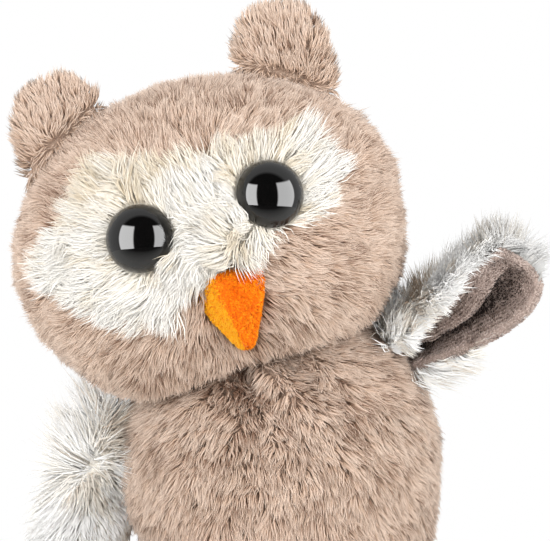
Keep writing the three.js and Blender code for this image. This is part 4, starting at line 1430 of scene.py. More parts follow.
def beak_front(sizes, points):
    """Points of the row frame in the beak's own, the beak's front at each, and which lie in the beak."""
    place = head_place(sizes) @ beak_place(sizes)
    here = placed(points, place.inverted())
    halves = np.array([sizes.beak_width, sizes.beak_depth, sizes.beak_height]) / 2
    height = here[:, 2] / halves[2]
    hook = np.where(height > 0, BEAK_LEAN_SHARE, BEAK_HOOK_SHARE) * height
    taper = beak_taper(height, BEAK_TIP_SHARE, BEAK_TOP_SHARE) * BEAK_ROOM_WIDE[0]
    share = 1 - (here[:, 0] / (halves[0] * np.minimum(taper, BEAK_ROOM_WIDE[1]))) ** 2 - height ** 2
    front = halves[1] * (hook - 1.1 * np.sqrt(np.maximum(share, 0))) - BEAK_ROOM_GAP
    return place, here, front, (share > 0) & (here[:, 1] > front) & (here[:, 1] < sizes.beak_depth)


def in_beak(sizes, points):
    """Which points of the row frame lie in the beak or behind it."""
    return beak_front(sizes, points)[3]


def off_the_beak(sizes, points):
    """Points of the row frame brought out of the beak, to lie on its front."""
    place, here, front, inside = beak_front(sizes, points)
    here[inside, 1] = front[inside]
    return placed(here, place)


def behind_beak(sizes, points):
    """Which points of the head's front, in its own frame, the beak is sewn over."""
    up = (points[:, 2] - sizes.head_rise + sizes.beak_drop) / (sizes.beak_height / 2 - BEAK_LAP)
    wide = np.minimum(beak_taper(up, BEAK_TIP_SHARE, BEAK_TOP_SHARE), 1)
    across = points[:, 0] / ((sizes.beak_width / 2 - BEAK_LAP) * wide)
    near = np.abs(across) ** 3 + np.abs(up) ** 3 < 1
    return near & (points[:, 1] < -sizes.head_forward)


def foot_mesh(sizes, side, inset):
    """One soft foot with three toes, flat underneath, kept clear of the body."""
    bm = bmesh.new()
    toe = ((0, -sizes.toe_length / 2, 0), (sizes.toe_width / 2, sizes.toe_length / 2, sizes.foot_height / 2))
    sole = ((0, -sizes.toe_width, 0), (sizes.toe_width, sizes.toe_width, sizes.foot_height / 2))
    for (middle, halves), splay in ((sole, 0), *((toe, splay) for splay in TOE_SPLAYS)):
        scale = Matrix.Diagonal((*(h - inset for h in halves), 1))
        turn = Matrix.Rotation(math.radians(splay), 4, "Z")
        bmesh.ops.create_icosphere(
            bm, subdivisions=4, radius=1, matrix=turn @ Matrix.Translation(middle) @ scale,
        )
    mesh = settled(mesh_from(bm, "foot"), "REMESH", mode="VOXEL", voxel_size=TOE_VOXEL)
    mesh = settled(mesh, "SMOOTH", factor=0.5, iterations=6)
    across = FOOT_SIDE if side == "left" else -FOOT_SIDE
    points = coordinates(mesh) + (across, -FOOT_FORWARD, sizes.foot_height / 2 - FOOT_SINK)
    points[:, 2] = np.maximum(points[:, 2], inset)
    set_coordinates(mesh, off_the_body(sizes, points, CLOTH_GAP + inset))
    return mesh


def filling_mesh(node, voxel_mm, lump_mm, seed):
    """A stuffed inside from its solid: remeshed, and drawn in a little by lumps."""
    mesh = frame["nodes"][node].data.copy()
    bm = bmesh.new()
    bm.from_mesh(mesh)
    bmesh.ops.remove_doubles(bm, verts=bm.verts, dist=NODE_WELD)
    bm.to_mesh(mesh)
    bm.free()
    mesh = settled(mesh, "REMESH", mode="VOXEL", voxel_size=voxel_mm * MM)
    points = coordinates(mesh)
    lumps = (ripple(points, LUMP_SIZE, seed) - 1.2) * 0.5 * lump_mm * MM
    set_coordinates(mesh, points + rows_of(mesh.vertices, "normal") * np.minimum(lumps, 0)[:, None])
    return mesh


# ---- Operators ----


class OWL_OT_body(bpy.types.Operator):
    """Sew the body's three plush panels and grow their pile"""

    bl_idname = "owl.body"
    bl_label = "Body"

    def execute(self, context):
        sizes, looks = context.scene.owl_sizes, context.scene.owl_looks
        backing, pile = plain_cloth("taupe_plush_backing"), taupe_pile_material(looks)
        skin = parted(body_skin(sizes), seam_cuts(1, 0) + seam_cuts(0, 0))
        x, y, z = rows_of(skin.polygons, "center").T
        upright = z > WELD
        back = (y > SEAM_HALF) & upright
        panels = (
            ("body_front", (y < -SEAM_HALF) & upright, "body_front_panel"),
            ("body_back_left", back & (x > SEAM_HALF), "body_back_panel_left"),
            ("body_back_right", back & (x < -SEAM_HALF), "body_back_panel_right"),
        )
        for name, keep, node in panels:
            carry(show(panel_of(skin, keep), f"{name}_plush", backing), "torso", "taupe_plush", node)
        rng = random_of(looks, "body")
        roots, normals = scattered(skin, looks.taupe_density, rng)
        close = closeness(normals)
        seen = ~in_head(sizes, roots + normals * HIDDEN_STEP, HIDDEN_HEAD_SHARE) & (roots[:, 2] > LOWEST_ROOT)
        seen &= rng.random(len(roots)) < close
        roots, normals, close = roots[seen], normals[seen], close[seen]
        fan = unit_rows(roots - np.array(BODY_FAN) * MM)
        lie = along_surface(fan + BODY_DOWN + swirled(roots, *BODY_SWIRL), normals)
        part = parted_pile(roots, *BODY_PARTINGS)
        # Painted shade darkens the pile in the neck's folds, and painted light brightens it on their ridge.
        tone = waved(roots, *BODY_TONE) - FOLD_PAINTED_SHADE * fold_depth(roots)[1]
        # Painted shade darkens the pile where it parts.
        tone = tone - PARTING_PAINTED_SHADE * np.clip(part, 0, 1)
        strands = lay_pile(
            roots, normals, lie, tone, rng, TAUPE_LAY, sizes.taupe_pile, sizes.strand_width / np.sqrt(close),
            PARTING_LIFT * np.clip(part, -1, 1),
        )
        front, left = roots[:, 1] < 0, roots[:, 0] > 0
        groups = (
            ("body_front_left", front & left, "body_front_panel"),
            ("body_front_right", front & ~left, "body_front_panel"),
            ("body_back_left", ~front & left, "body_back_panel_left"),
            ("body_back_right", ~front & ~left, "body_back_panel_right"),
        )
        for name, at, node in groups:
            carry(sew_pile(f"{name}_pile", pile, strands[at]), "torso", "taupe_plush", node)
        bpy.data.meshes.remove(skin)
        return {"FINISHED"}


def taupe_pile_material(looks):
    """Taupe faux-fur plush, heat set and brushed: darkened by painted shade at its partings, and pale at its
    tips.
    """
    return pile_material(
        "taupe_brushed_faux_fur",
        [(0.0, looks.taupe_root), (0.45, looks.taupe_mid), (1.0, looks.taupe_tip)],
        [(0.0, linear("8C776A")), (0.5, linear("F0EBE7")), (1.0, linear("FFFFFF"))],
        0.25,
    )


def white_pile_material(looks, name="white_shaggy_faux_fur", deep="E3D4BC", painted_light_share=0.0):
    """White faux-fur shag, brushed into tufts: cream where it is deep and near white at its tips."""
    stops = ((0.0, looks.white_root), (0.4, looks.white_mid), (1.0, looks.white_tip))
    return pile_material(
        # Painted light: the share by which every stop is lifted towards white, for shag that lies in shade.
        name, [(place, [part + (1 - part) * painted_light_share for part in colour]) for place, colour in stops],
        [(0.0, linear(deep)), (0.35, linear("FAF5EC")), (0.6, linear("FFFFFF"))],
        0.1,
    )


def velour_pile_material(looks):
    """Orange velour, sheared short: deep orange between tufts, with yellow painted light on its tips and the
    beak's lit side.
    """
    return pile_material(
        "orange_sheared_velour",
        [(0.0, looks.orange_low), (0.5, looks.orange), (1.0, looks.orange_tip)],
        [(0.0, linear("E08048")), (0.5, linear("FFC8A0")), (1.0, linear("FFFFFF"))],
        0.0,
    )


def nap_material(looks):
    """Grey-brown velour, sheared short: painted shade between its rows and in the raised wing's cup, paler
    where the nap catches light.
    """
    return pile_material(
        "grey_sheared_velour",
        [(0.0, looks.lining_low), (0.6, looks.lining), (1.0, linear("D2C2BA"))],
        [(0.0, linear("1F1816")), (0.4, linear("A59C97")), (0.8, linear("FFFFFF"))],
        0.15,
    )


class OWL_OT_base(bpy.types.Operator):
    """Make the flat base cloth and the ring of stitches that holds it"""

    bl_idname = "owl.base"
    bl_label = "Base"

    def execute(self, context):
        sizes = context.scene.owl_sizes
        radius = sizes.base_radius - BASE_EDGE - BASE_SEAM
        rim = BASE_WALL / 2
        seam = radius - 2 * rim
        profile = [(0, BASE_DISH), (radius - 3 * rim, BASE_DISH_EDGE), (seam, 0)]
        for turn in turns(2 * RIM_STEPS, math.pi):
            profile.append((radius - rim + rim * math.sin(turn), rim - rim * math.cos(turn)))
        profile += [(seam, BASE_WALL), (0, BASE_WALL)]
        cloth = show(lathe(profile, BASE_STEPS), "base_cloth", plain_cloth("taupe_base_cloth"))
        carry(cloth, "torso", "taupe_plush", "base_panel")
        bm = bmesh.new()
        stitch = Matrix.Translation((seam, 0, STITCH_HEIGHT)) @ Matrix.Diagonal((*STITCH_HALVES, 1))
        for i in range(STITCHES):
            turn = Matrix.Rotation(math.tau * i / STITCHES, 4, "Z")
            bmesh.ops.create_icosphere(bm, subdivisions=2, radius=1, matrix=turn @ stitch)
        stitches = show(mesh_from(bm, "stitches"), "base_stitches", plain_cloth("taupe_sewing_thread"))
        carry(stitches, "torso", "taupe_plush", "base_panel")
        return {"FINISHED"}


class OWL_OT_head(bpy.types.Operator):
    """Sew the head's plush panels and its white mask, and grow their pile"""

    bl_idname = "owl.head"
    bl_label = "Head and mask"

    def execute(self, context):
        sizes, looks = context.scene.owl_sizes, context.scene.owl_looks
        taupe, white = plain_cloth("taupe_plush_backing"), plain_cloth("white_plush_backing")
        place = head_place(sizes)
        socket = sizes.body_radius + SOCKET_GAP + sizes.pile_root

        def form(units):
            return off_the_ball(head_points(sizes, units, sizes.pile_root), socket)

        cuts = seam_cuts(0, -GUSSET_SIDE, 0, GUSSET_SIDE) + seam_cuts(1, 0, GUSSET_SEAM_BACK)
        skin = parted(formed_ball(form, HEAD_FINENESS), cuts + seam_cuts(2, sizes.head_rise))
        middles = rows_of(skin.polygons, "center")
        well = eye_distance(sizes, middles) > EYE_WELL
        for name, keep in head_panels(sizes, middles).items():
            mask = "mask" in name
            mesh = panel_of(skin, keep & well if mask else keep)
            mesh.transform(place)
            piece = show(mesh, f"{name}_plush", white if mask else taupe)
            carry(piece, "head", "white_plush" if mask else "taupe_plush", HEAD_NODES[name])
        self.grow(sizes, looks, skin, place, socket)
        bpy.data.meshes.remove(skin)
        return {"FINISHED"}

    def grow(self, sizes, looks, skin, place, socket):
        """Grows the pile of every panel of the head."""
        rng = random_of(looks, "head")
        taupe, white = taupe_pile_material(looks), white_pile_material(looks)
        closest = max(looks.taupe_density, looks.white_density)
        roots, normals = scattered(skin, closest, rng)
        outside = np.linalg.norm(roots, axis=1) > socket + SOCKET_RIM
        roots, normals = roots[outside], normals[outside]
        masked = in_mask(sizes, roots)
        thin = np.where(masked, looks.white_density, looks.taupe_density * closeness(normals))
        kept = rng.random(len(roots)) < thin / closest
        kept &= ~behind_beak(sizes, roots)
        kept &= ~masked | (eye_distance(sizes, roots) > sizes.eye_radius - EYE_HAIR_LAP)
        for mask in (False, True):
            at = kept & (masked == mask)
            here, out = roots[at], normals[at]
            lie, tone, lift, longer = (self.mask_lie if mask else self.cheek_lie)(sizes, here, out)
            strands = lay_pile(
                placed(here, place), turned(out, place), turned(lie, place), tone, rng,
                WHITE_LAY if mask else TAUPE_LAY, (sizes.white_pile if mask else sizes.taupe_pile) * longer,
                sizes.strand_width / (1 if mask else np.sqrt(closeness(out))), lift,
            )
            points = strands[..., :3]
            crossed = crosses_beak(sizes, points)
            if mask:
                up = placed(here, beak_place(sizes).inverted())[:, 2]
                crossed &= up <= OVER_BEAK_SHARE * sizes.beak_height
                strands[..., :3] = off_the_beak(sizes, points.reshape(-1, 3)).reshape(points.shape)
            else:
                root = points[crossed][:, :1]
                points[crossed] = root + (points[crossed] - root) * BESIDE_BEAK_SHARE
                crossed = crosses_beak(sizes, points)
            for name, mine in head_panels(sizes, here).items():
                if mask == ("mask" in name):
                    piece = sew_pile(f"{name}_pile", white if mask else taupe, strands[mine & ~crossed])
                    carry(piece, "head", "white_plush" if mask else "taupe_plush", HEAD_NODES[name])

    def cheek_lie(self, sizes, roots, normals):
        """How the taupe pile of the head lies: away from the face, and down at the back."""
        face = (FACE_SHIFT, -sizes.head_forward - sizes.head_depth * FACE_DEPTH_SHARE, sizes.head_rise)
        back = np.clip(roots[:, 1] / (sizes.head_depth / 2), 0, 1)
        down = np.stack([0 * back, 0 * back, HEAD_BACK_DOWN * back], 1)
        lie = along_surface(unit_rows(roots - face) + down + swirled(roots, *HEAD_SWIRL), normals)
        part = parted_pile(roots, *HEAD_PARTINGS)
        # Painted shade darkens the pile where it parts.
        tone = waved(roots, *HEAD_TONE) - PARTING_PAINTED_SHADE * np.clip(part, 0, 1)
        return lie, tone, PARTING_LIFT * np.clip(part, -1, 1), np.ones(len(roots))

    def mask_lie(self, sizes, roots, normals):
        """How the white shag lies: out of a whorl over the beak and away from each eye, in loose tufts."""
        whorl = np.array([WHORL[0], face_depth(sizes, *WHORL) - WHORL_DEPTH, sizes.head_rise + WHORL[1]])
        away = unit_rows(roots - whorl)
        for sign in (-1, 1):
            gap = roots - np.array(eye_place(sizes, sign).translation)
            near = fading(np.linalg.norm(gap, axis=1), EYE_PARTING_REACH)
            away = away + unit_rows(gap) * (EYE_PARTING * near)[:, None]
        hollow = np.linalg.norm((roots - whorl)[:, (0, 2)], axis=1)
        messy = WHORL_MESS[0] + WHORL_MESS[1] * fading(hollow, WHORL_MESS_REACH)
        lie = along_surface(away + swirled(roots, messy[:, None], *MASK_SWIRL), normals)
        fringe = fading(hollow, FRINGE_REACH) * eased(whorl[2] - roots[:, 2], *FRINGE_BAND)
        lie = along_surface(lie + fringe[:, None] * FRINGE_DOWN, normals)
        rim = fading(eye_distance(sizes, roots) - sizes.eye_radius, RIM_REACH)
        # Painted shade darkens the shag in the whorl's hollow.
        tone = waved(roots, *MASK_TONE) - WHORL_PAINTED_SHADE * fading(hollow, WHORL_PAINTED_SHADE_REACH)
        # Painted shade darkens the shag round the eyes' rims.
        tone = tone - RIM_PAINTED_SHADE * rim - BROW_DARK * eased(roots[:, 2] - sizes.head_rise, *BROW_BAND)
        lift = waved(roots, *MASK_LIFT) + RIM_LIFT * rim + WHORL_LIFT * fading(hollow, WHORL_LIFT_REACH)
        off = np.min([np.hypot(roots[:, 0] - x, roots[:, 2] - z) for x, z in mask_line(sizes)], axis=0)
        edge = fading(off, MASK_EDGE_REACH) * eased(ripple(roots, *MASK_EDGE_TUFTS), -0.3, 0.5)
        longer = waved(roots, *MASK_LENGTH) - FRINGE_SHORT * fringe - RIM_SHORT * rim + MASK_EDGE_LONG * edge
        return lie, tone, lift, np.clip(longer, 0.6, 1.5)


def crosses_beak(sizes, points):
    """Which strands, as rows of points in the row frame, go through the beak above their roots."""
    return in_beak(sizes, points[:, 1]) | in_beak(sizes, points[:, -1])


def eye_place(sizes, sign):
    """An eye's own frame in the head's, +Z out of the face."""
    across = sign * sizes.eye_spacing / 2
    seat = (across, face_depth(sizes, across, sizes.eye_rise, EYE_SINK), sizes.head_rise + sizes.eye_rise)
    return (
        Matrix.Translation(seat)
        @ Matrix.Rotation(EYE_TURN * sign, 4, "Z")
        @ Matrix.Rotation(EYE_LEAN, 4, "X")
    )


def eye_distance(sizes, points):
    """How far each point of the head is from the nearer eye's axis."""
    far = np.full(len(points), 1.0)
    for sign in (-1, 1):
        place = eye_place(sizes, sign)
        axis = np.array(place.to_3x3() @ Vector((0, 0, 1)))
        gap = points - np.array(place.translation)
        off = np.linalg.norm(gap - (gap @ axis)[:, None] * axis, axis=1)
        far = np.minimum(far, np.where(gap @ axis > EYE_REAR, off, 1.0))
    return far


class OWL_OT_eyes(bpy.types.Operator):
    """Turn the two glossy domed eyes with their shanks and finish their washers"""

    bl_idname = "owl.eyes"
    bl_label = "Eyes"

    def execute(self, context):
        sizes, looks = context.scene.owl_sizes, context.scene.owl_looks
        black, milky = self.eye_plastic(looks), self.washer_plastic(looks)
        for side, sign in (("left", 1), ("right", -1)):
            mesh = lathe(self.profile(sizes), EYE_STEPS)
            mesh.transform(head_place(sizes) @ eye_place(sizes, sign))
            carry(show(mesh, f"{side}_eye_dome", black), "head", "black_eye_plastic", f"{side}_eye")
            washer = frame["nodes"][f"{side}_eye_washer"]
            washer.data.materials.clear()
            washer.data.materials.append(milky)
        return {"FINISHED"}

    def profile(self, sizes):
        """Half an eye cut through its axis: a barbed shank, a flat back, a round rim and a dome."""
        points = [(0, SHANK_END), (SHANK_END_RADIUS, SHANK_END), (SHANK_RADIUS, SHANK_SHOULDER)]
        for low in BARB_HEIGHTS:
            points += [
                (SHANK_RADIUS, low), (BARB_RADIUS, low + BARB_HALF), (SHANK_RADIUS, low + 2 * BARB_HALF),
            ]
        inner = sizes.eye_radius - EYE_RIM
        points += [(SHANK_RADIUS, EYE_BACK), (inner, EYE_BACK)]
        for turn in turns(RIM_STEPS)[1:-1]:
            points.append((inner + EYE_RIM * math.sin(turn), EYE_BACK + EYE_RIM * (1 - math.cos(turn))))
        rise = sizes.eye_dome - EYE_RIM
        for turn in turns(DOME_STEPS)[:-1]:
            points.append((sizes.eye_radius * math.cos(turn), EYE_BACK + EYE_RIM + rise * math.sin(turn)))
        return [*points, (0, EYE_BACK + EYE_RIM + rise)]

    def eye_plastic(self, looks):
        """Black acrylic, injection moulded and polished: a hard clear gloss with a faint handling haze."""
        material, tree, shader, haze = plastic_material(
            "black_polished_acrylic", {"IOR": 1.52}, HAZE_SIZE, 4.0,
            [(0.3, looks.eye), (0.8, linear("080707"))],
        )
        rough = add_node(
            tree, "MapRange",
            {"Value": haze, "From Min": 0.3, "From Max": 0.7, "To Min": 0.02, "To Max": 0.05},
        )
        tree.links.new(rough.outputs[0], shader.inputs["Roughness"])
        return material

    def washer_plastic(self, looks):
        """Polypropylene, injection moulded: milky, with a soft satin skin."""
        return plastic_material(
            "milky_moulded_polypropylene", {"Roughness": 0.45, "IOR": 1.49}, CLOUD_SIZE, 2.0,
            [(0.3, linear("CFCDC6")), (0.7, looks.washer)],
        )[0]


class OWL_OT_beak(bpy.types.Operator):
    """Make the beak's velour cover and its short sheared pile"""

    bl_idname = "owl.beak"
    bl_label = "Beak"

    def execute(self, context):
        sizes, looks = context.scene.owl_sizes, context.scene.owl_looks
        place = head_place(sizes)
        owner = ("head", "orange_velour", "beak_skin")
        mesh = beak_mesh(sizes, BEAK_INSET)
        mesh.transform(place)
        density, length, width = BEAK_VELOUR
        rng = random_of(looks, "beak")
        roots, normals = scattered(mesh, density, rng)
        down = np.array(place.to_3x3() @ Vector(BEAK_DOWN))
        lie = along_surface(np.broadcast_to(down, roots.shape), normals)
        # Painted light makes the beak's side towards the left softbox paler.
        tone = waved(roots, *BEAK_TONE) + BEAK_PAINTED_LIGHT * eased(-normals[:, 0], 0.15, 0.6)
        hair = grow_pile(
            "beak_pile", velour_pile_material(looks), roots, normals, lie, tone, rng, VELOUR_LAY, length,
            width, waved(roots, *BEAK_LIFT),
        )
        carry(hair, *owner)
        piece = carry(show(mesh, "beak_velour", plain_cloth("orange_velour_ground")), *owner)
        return {"FINISHED"}


class OWL_OT_ears(bpy.types.Operator):
    """Make both plush ears and grow their pile"""

    bl_idname = "owl.ears"
    bl_label = "Ears"

    def execute(self, context):
        sizes, looks = context.scene.owl_sizes, context.scene.owl_looks
        backing = plain_cloth("taupe_plush_backing")
        place = head_place(sizes)
        for side, splay in EAR_SPLAYS.items():
            owner = (f"{side}_ear", "taupe_plush", f"{side}_ear_skin")
            mesh = ear_mesh(sizes, side, splay, sizes.pile_root)
            rng = random_of(looks, f"{side}_ear")
            roots, normals = scattered(mesh, looks.taupe_density, rng)
            free = roots[:, 2] > crown_height(sizes, roots) + EAR_LOWEST_ROOT
            free &= rng.random(len(roots)) < closeness(normals)
            roots, normals = roots[free], normals[free]
            middle = np.array([ear_across(sizes, side), -sizes.head_forward, sizes.head_rise + EAR_FAN_RISE])
            low = 1 - eased(roots[:, 2] - crown_height(sizes, roots), *EAR_SEAM_BAND)
            fan = unit_rows(roots - middle) + EAR_UP + swirled(roots, *EAR_SWIRL)
            lie = along_surface(fan + low[:, None] * EAR_SEAM_DOWN, normals)
            high = np.clip((roots[:, 2] - middle[2]) / EAR_PALE_RISE, 0, 1)
            piece = grow_pile(
                f"{side}_ear_pile", taupe_pile_material(looks), placed(roots, place), turned(normals, place),
                turned(lie, place), waved(roots, *EAR_TONE) + EAR_PALE_TIP * high, rng, EAR_LAY,
                sizes.taupe_pile * (EAR_LENGTHS[0] + EAR_LENGTHS[1] * low),
                sizes.strand_width / np.sqrt(closeness(normals)),
                waved(roots, *EAR_LIFT) - EAR_SEAM_LIFT * low,
            )
            carry(piece, *owner)
            mesh.transform(place)
            cloth = carry(show(mesh, f"{side}_ear_plush", backing), *owner)
        return {"FINISHED"}


class OWL_OT_wings(bpy.types.Operator):
    """Make both cupped wings: shaggy covers outside and ribbed velour linings inside"""

    bl_idname = "owl.wings"
    bl_label = "Wings"

    def execute(self, context):
        sizes, looks = context.scene.owl_sizes, context.scene.owl_looks
        white = plain_cloth("white_plush_backing")
        lining = cloth_material("grey_ribbed_velour", looks.lining_low, looks.lining, 0.6, 0.3, 0.45)
        for side in ("left", "right"):
            owner = (f"{side}_wing", "grey_velour", f"{side}_wing_lining")
            mesh = cover_mesh(sizes, side)
            self.grow(sizes, looks, mesh, side)
            cover = settled(mesh, "SOLIDIFY", thickness=COVER_THICKNESS, offset=-1)
            piece = show(cover, f"{side}_wing_plush", white)
            carry(piece, f"{side}_wing", "white_plush", f"{side}_wing_cover")
            inner, across = lining_mesh(sizes, side)
            density = NAPS[side][0]
            roots, out, across = scattered(inner, density, random_of(looks, f"{side}_lining"), across)
            carry(self.nap(sizes, looks, side, "nap", roots, -out, across), *owner)
            inner = settled(inner, "SOLIDIFY", thickness=LINING_THICKNESS, offset=1)
            carry(show(inner, f"{side}_wing_velour", lining), *owner)
            hem = hem_mesh(sizes, side)
            roots, out = scattered(hem, density, random_of(looks, f"{side}_hem"))
            carry(self.nap(sizes, looks, side, "hem_nap", roots, out, np.ones(len(roots))), *owner)
            carry(show(hem, f"{side}_wing_hem", lining), *owner)
        return {"FINISHED"}

    def nap(self, sizes, looks, side, name, roots, out, across):
        """Grows the short nap of a wing's lining, in the rows that its knitting leaves."""
        place = wing_place(sizes, side)
        here = placed(roots, place.inverted())
        lie = along_surface(turned(swirled(here, *NAP_SWIRL) + (1.0, 0, 0), place), out)
        # The rows' tone is painted shading of the knitted ribs.
        rows = np.sin(across * sizes.wing_half_width * math.tau / NAP_ROW + waved(here, 0, NAP_ROW_WAVE))
        along = here[:, 0] / sizes.wing_length
        tone = waved(here, NAP_TONE + NAP_ROW_PAINTED_SHADING * rows, NAP_WAVE) + NAP_PALE * eased(along, 0.6, 0.9)
        # Painted shade deep in the raised wing's cup, under its flap.
        if side == "left":
            middle = np.sin(math.pi * np.clip(along, 0, 1)) ** 0.7
            cup = eased(across, *CUP_PAINTED_SHADE_START) * (1 - eased(across, *CUP_PAINTED_SHADE_END))
            tone = tone - middle * cup
        density, length, width = NAPS[side]
        return grow_pile(
            f"{side}_wing_{name}", nap_material(looks), roots, out, lie, tone,
            random_of(looks, f"{side}_nap"), NAP_LAY, length, width,
        )

    def grow(self, sizes, looks, mesh, side):
        """Grows the shag of a wing's cover, fanned out beyond its edges."""
        rng = random_of(looks, f"{side}_wing")
        roots, normals = scattered(mesh, looks.white_density * WING_DENSITY_SHARE, rng)
        place = wing_place(sizes, side)
        here = placed(roots, place.inverted())
        out = turned(normals, place.inverted())
        if out[:, 2].mean() < 0:
            raise RuntimeError(f"the {side} wing's cover faces inwards")
        free = here[:, 0] > WING_FIRST_ROOT
        roots, normals, here, out = roots[free], normals[free], here[free], out[free]
        down, along = here[:, 1] / sizes.wing_cup, here[:, 0] / sizes.wing_length
        tone = waved(here, *WING_TONE)
        low = high = full = inner = outer = np.zeros(len(here))
        if side == "left":
            low = eased(down, 0.1, 0.9) * (0.45 + 0.55 * eased(along, 0.1, 0.5))
            high = np.clip(eased(-down, 0.1, 0.8) + 1 - eased(along, 0.1, 0.4), 0, 1)
            high = high - HIGH_CUT * eased(-down, 0.7, 0.95) * eased(along, 0.1, 0.3)
            shade = np.linalg.norm((here - np.array(WING_SHADE) * MM)[:, :2], axis=1)
            # Painted light makes the raised wing's shag paler overall.
            tone = waved(here, tone + RAISED_PAINTED_LIGHT, RAISED_WAVE)
            # Painted shade where the head shades the raised wing.
            tone = tone - WING_SHADE_DARK * fading(shade, WING_SHADE_REACH)
        else:
            full = 1 - eased(along, 0.2, 0.7)
            inner = eased(down, 0.1, 0.8) * eased(along, 0.15, 0.5)
            outer = eased(-down, 0.1, 0.8)
        spread = (0.55 + 0.5 * full) * down * (1 - low)
        fan = np.stack([0.9 + low - 1.1 * full, spread, -0.75 * np.abs(down) * (1 - low)], 1)
        strength, size, seed = WING_SWIRL
        lie = along_surface(fan + swirled(here, (strength - LOW_CALM * low)[:, None], size, seed), out)
        longer = WING_LENGTH_SHARE - LOW_SHORT * low + HIGH_LONG * high + FULL_LONG * full * (1 - inner)
        longer = longer - INNER_SHORT * inner + OUTER_LONG * outer
        lift = waved(here, *WING_LIFT) - LOW_FLAT * low
        lift = lift - WING_SIDE_FLAT * eased(np.abs(down), 0.5, 1) + FULL_LIFT * full
        piece = grow_pile(
            f"{side}_wing_pile", self.fur(looks), roots, normals, turned(lie, place), tone, rng,
            WING_LAY if side == "left" else HANGING_LAY, sizes.white_pile * longer,
            sizes.strand_width * WING_STRAND_SHARE, lift,
        )
        carry(piece, f"{side}_wing", "white_plush", f"{side}_wing_cover")
        self.edge(sizes, looks, side, rng)

    def fur(self, looks):
        """The wings' shag, made whiter than the mask's by painted light, as the wings lie in shade."""
        return white_pile_material(looks, "white_wing_faux_fur", "B59C84", 0.65)

    def edge(self, sizes, looks, side, rng):
        """Grows the shag that stands off a wing's hem and hides it."""
        raised = side == "left"
        along = rng.uniform(EDGE_START, WING_LAST_SHARE, EDGE_STRANDS)
        ends = -np.ones(EDGE_STRANDS) if raised else rng.choice([-1.0, 1.0], EDGE_STRANDS)
        at_tip = rng.random(EDGE_STRANDS) < EDGE_TIP_SHARE
        along[at_tip] = WING_LAST_SHARE
        ends[at_tip] = rng.uniform(-1, EDGE_TIP_END if raised else 1, at_tip.sum())
        height = rng.uniform(*EDGE_HEIGHTS, EDGE_STRANDS) * MM
        ends = np.where(at_tip, ends, ends * rng.uniform(EDGE_INNERMOST, 1, EDGE_STRANDS))
        here = wing_points(sizes, along, ends, height)
        nearer = (np.where(at_tip, along - 0.03, along), np.where(at_tip, ends, ends * 0.97))
        inner = wing_points(sizes, *nearer, height)
        up = unit_rows(here - wing_points(sizes, along, ends, height - EDGE_STEP))
        out = unit_rows(unit_rows(here - inner) + up * 0.7)
        lie = along_surface(np.array([0.7, 0, 0]) - up * 0.5 + swirled(here, *EDGE_SWIRL), out)
        hang = 0.5 + 0.5 * eased(along, EDGE_START, 0.16)
        if not raised:
            hang = hang - 0.55 * (ends > 0) * eased(along, 0.15, 0.5)
        place = wing_place(sizes, side)
        piece = grow_pile(
            f"{side}_wing_edge_pile", self.fur(looks),
            off_the_body(sizes, placed(wing_bent(sizes, side, here), place), EDGE_GAP), turned(out, place),
            turned(lie, place), waved(here, *EDGE_TONE), rng, HEM_LAY,
            sizes.white_pile * EDGE_LENGTH_SHARE * hang, sizes.strand_width,
        )
        carry(piece, f"{side}_wing", "white_plush", f"{side}_wing_cover")


class OWL_OT_feet(bpy.types.Operator):
    """Make both three-toed velour feet and their short sheared pile"""

    bl_idname = "owl.feet"
    bl_label = "Feet"

    def execute(self, context):
        sizes, looks = context.scene.owl_sizes, context.scene.owl_looks
        cloth = plain_cloth("orange_velour_ground")
        density, length, width = FOOT_VELOUR
        for side in ("left", "right"):
            owner = (f"{side}_foot", "orange_velour", f"{side}_foot_skin")
            mesh = foot_mesh(sizes, side, FOOT_INSET)
            rng = random_of(looks, f"{side}_foot")
            roots, normals = scattered(mesh, density, rng)
            above = roots[:, 2] > FOOT_LOWEST_ROOT
            roots, normals = roots[above], normals[above]
            lie = along_surface(np.broadcast_to(np.array(FOOT_AHEAD), roots.shape), normals)
            hair = grow_pile(
                f"{side}_foot_pile", velour_pile_material(looks), roots, normals, lie,
                waved(roots, *FOOT_TONE), rng, VELOUR_LAY, length, width, waved(roots, *FOOT_LIFT),
            )
            carry(hair, *owner)
            piece = carry(show(mesh, f"{side}_foot_velour", cloth), *owner)
        return {"FINISHED"}


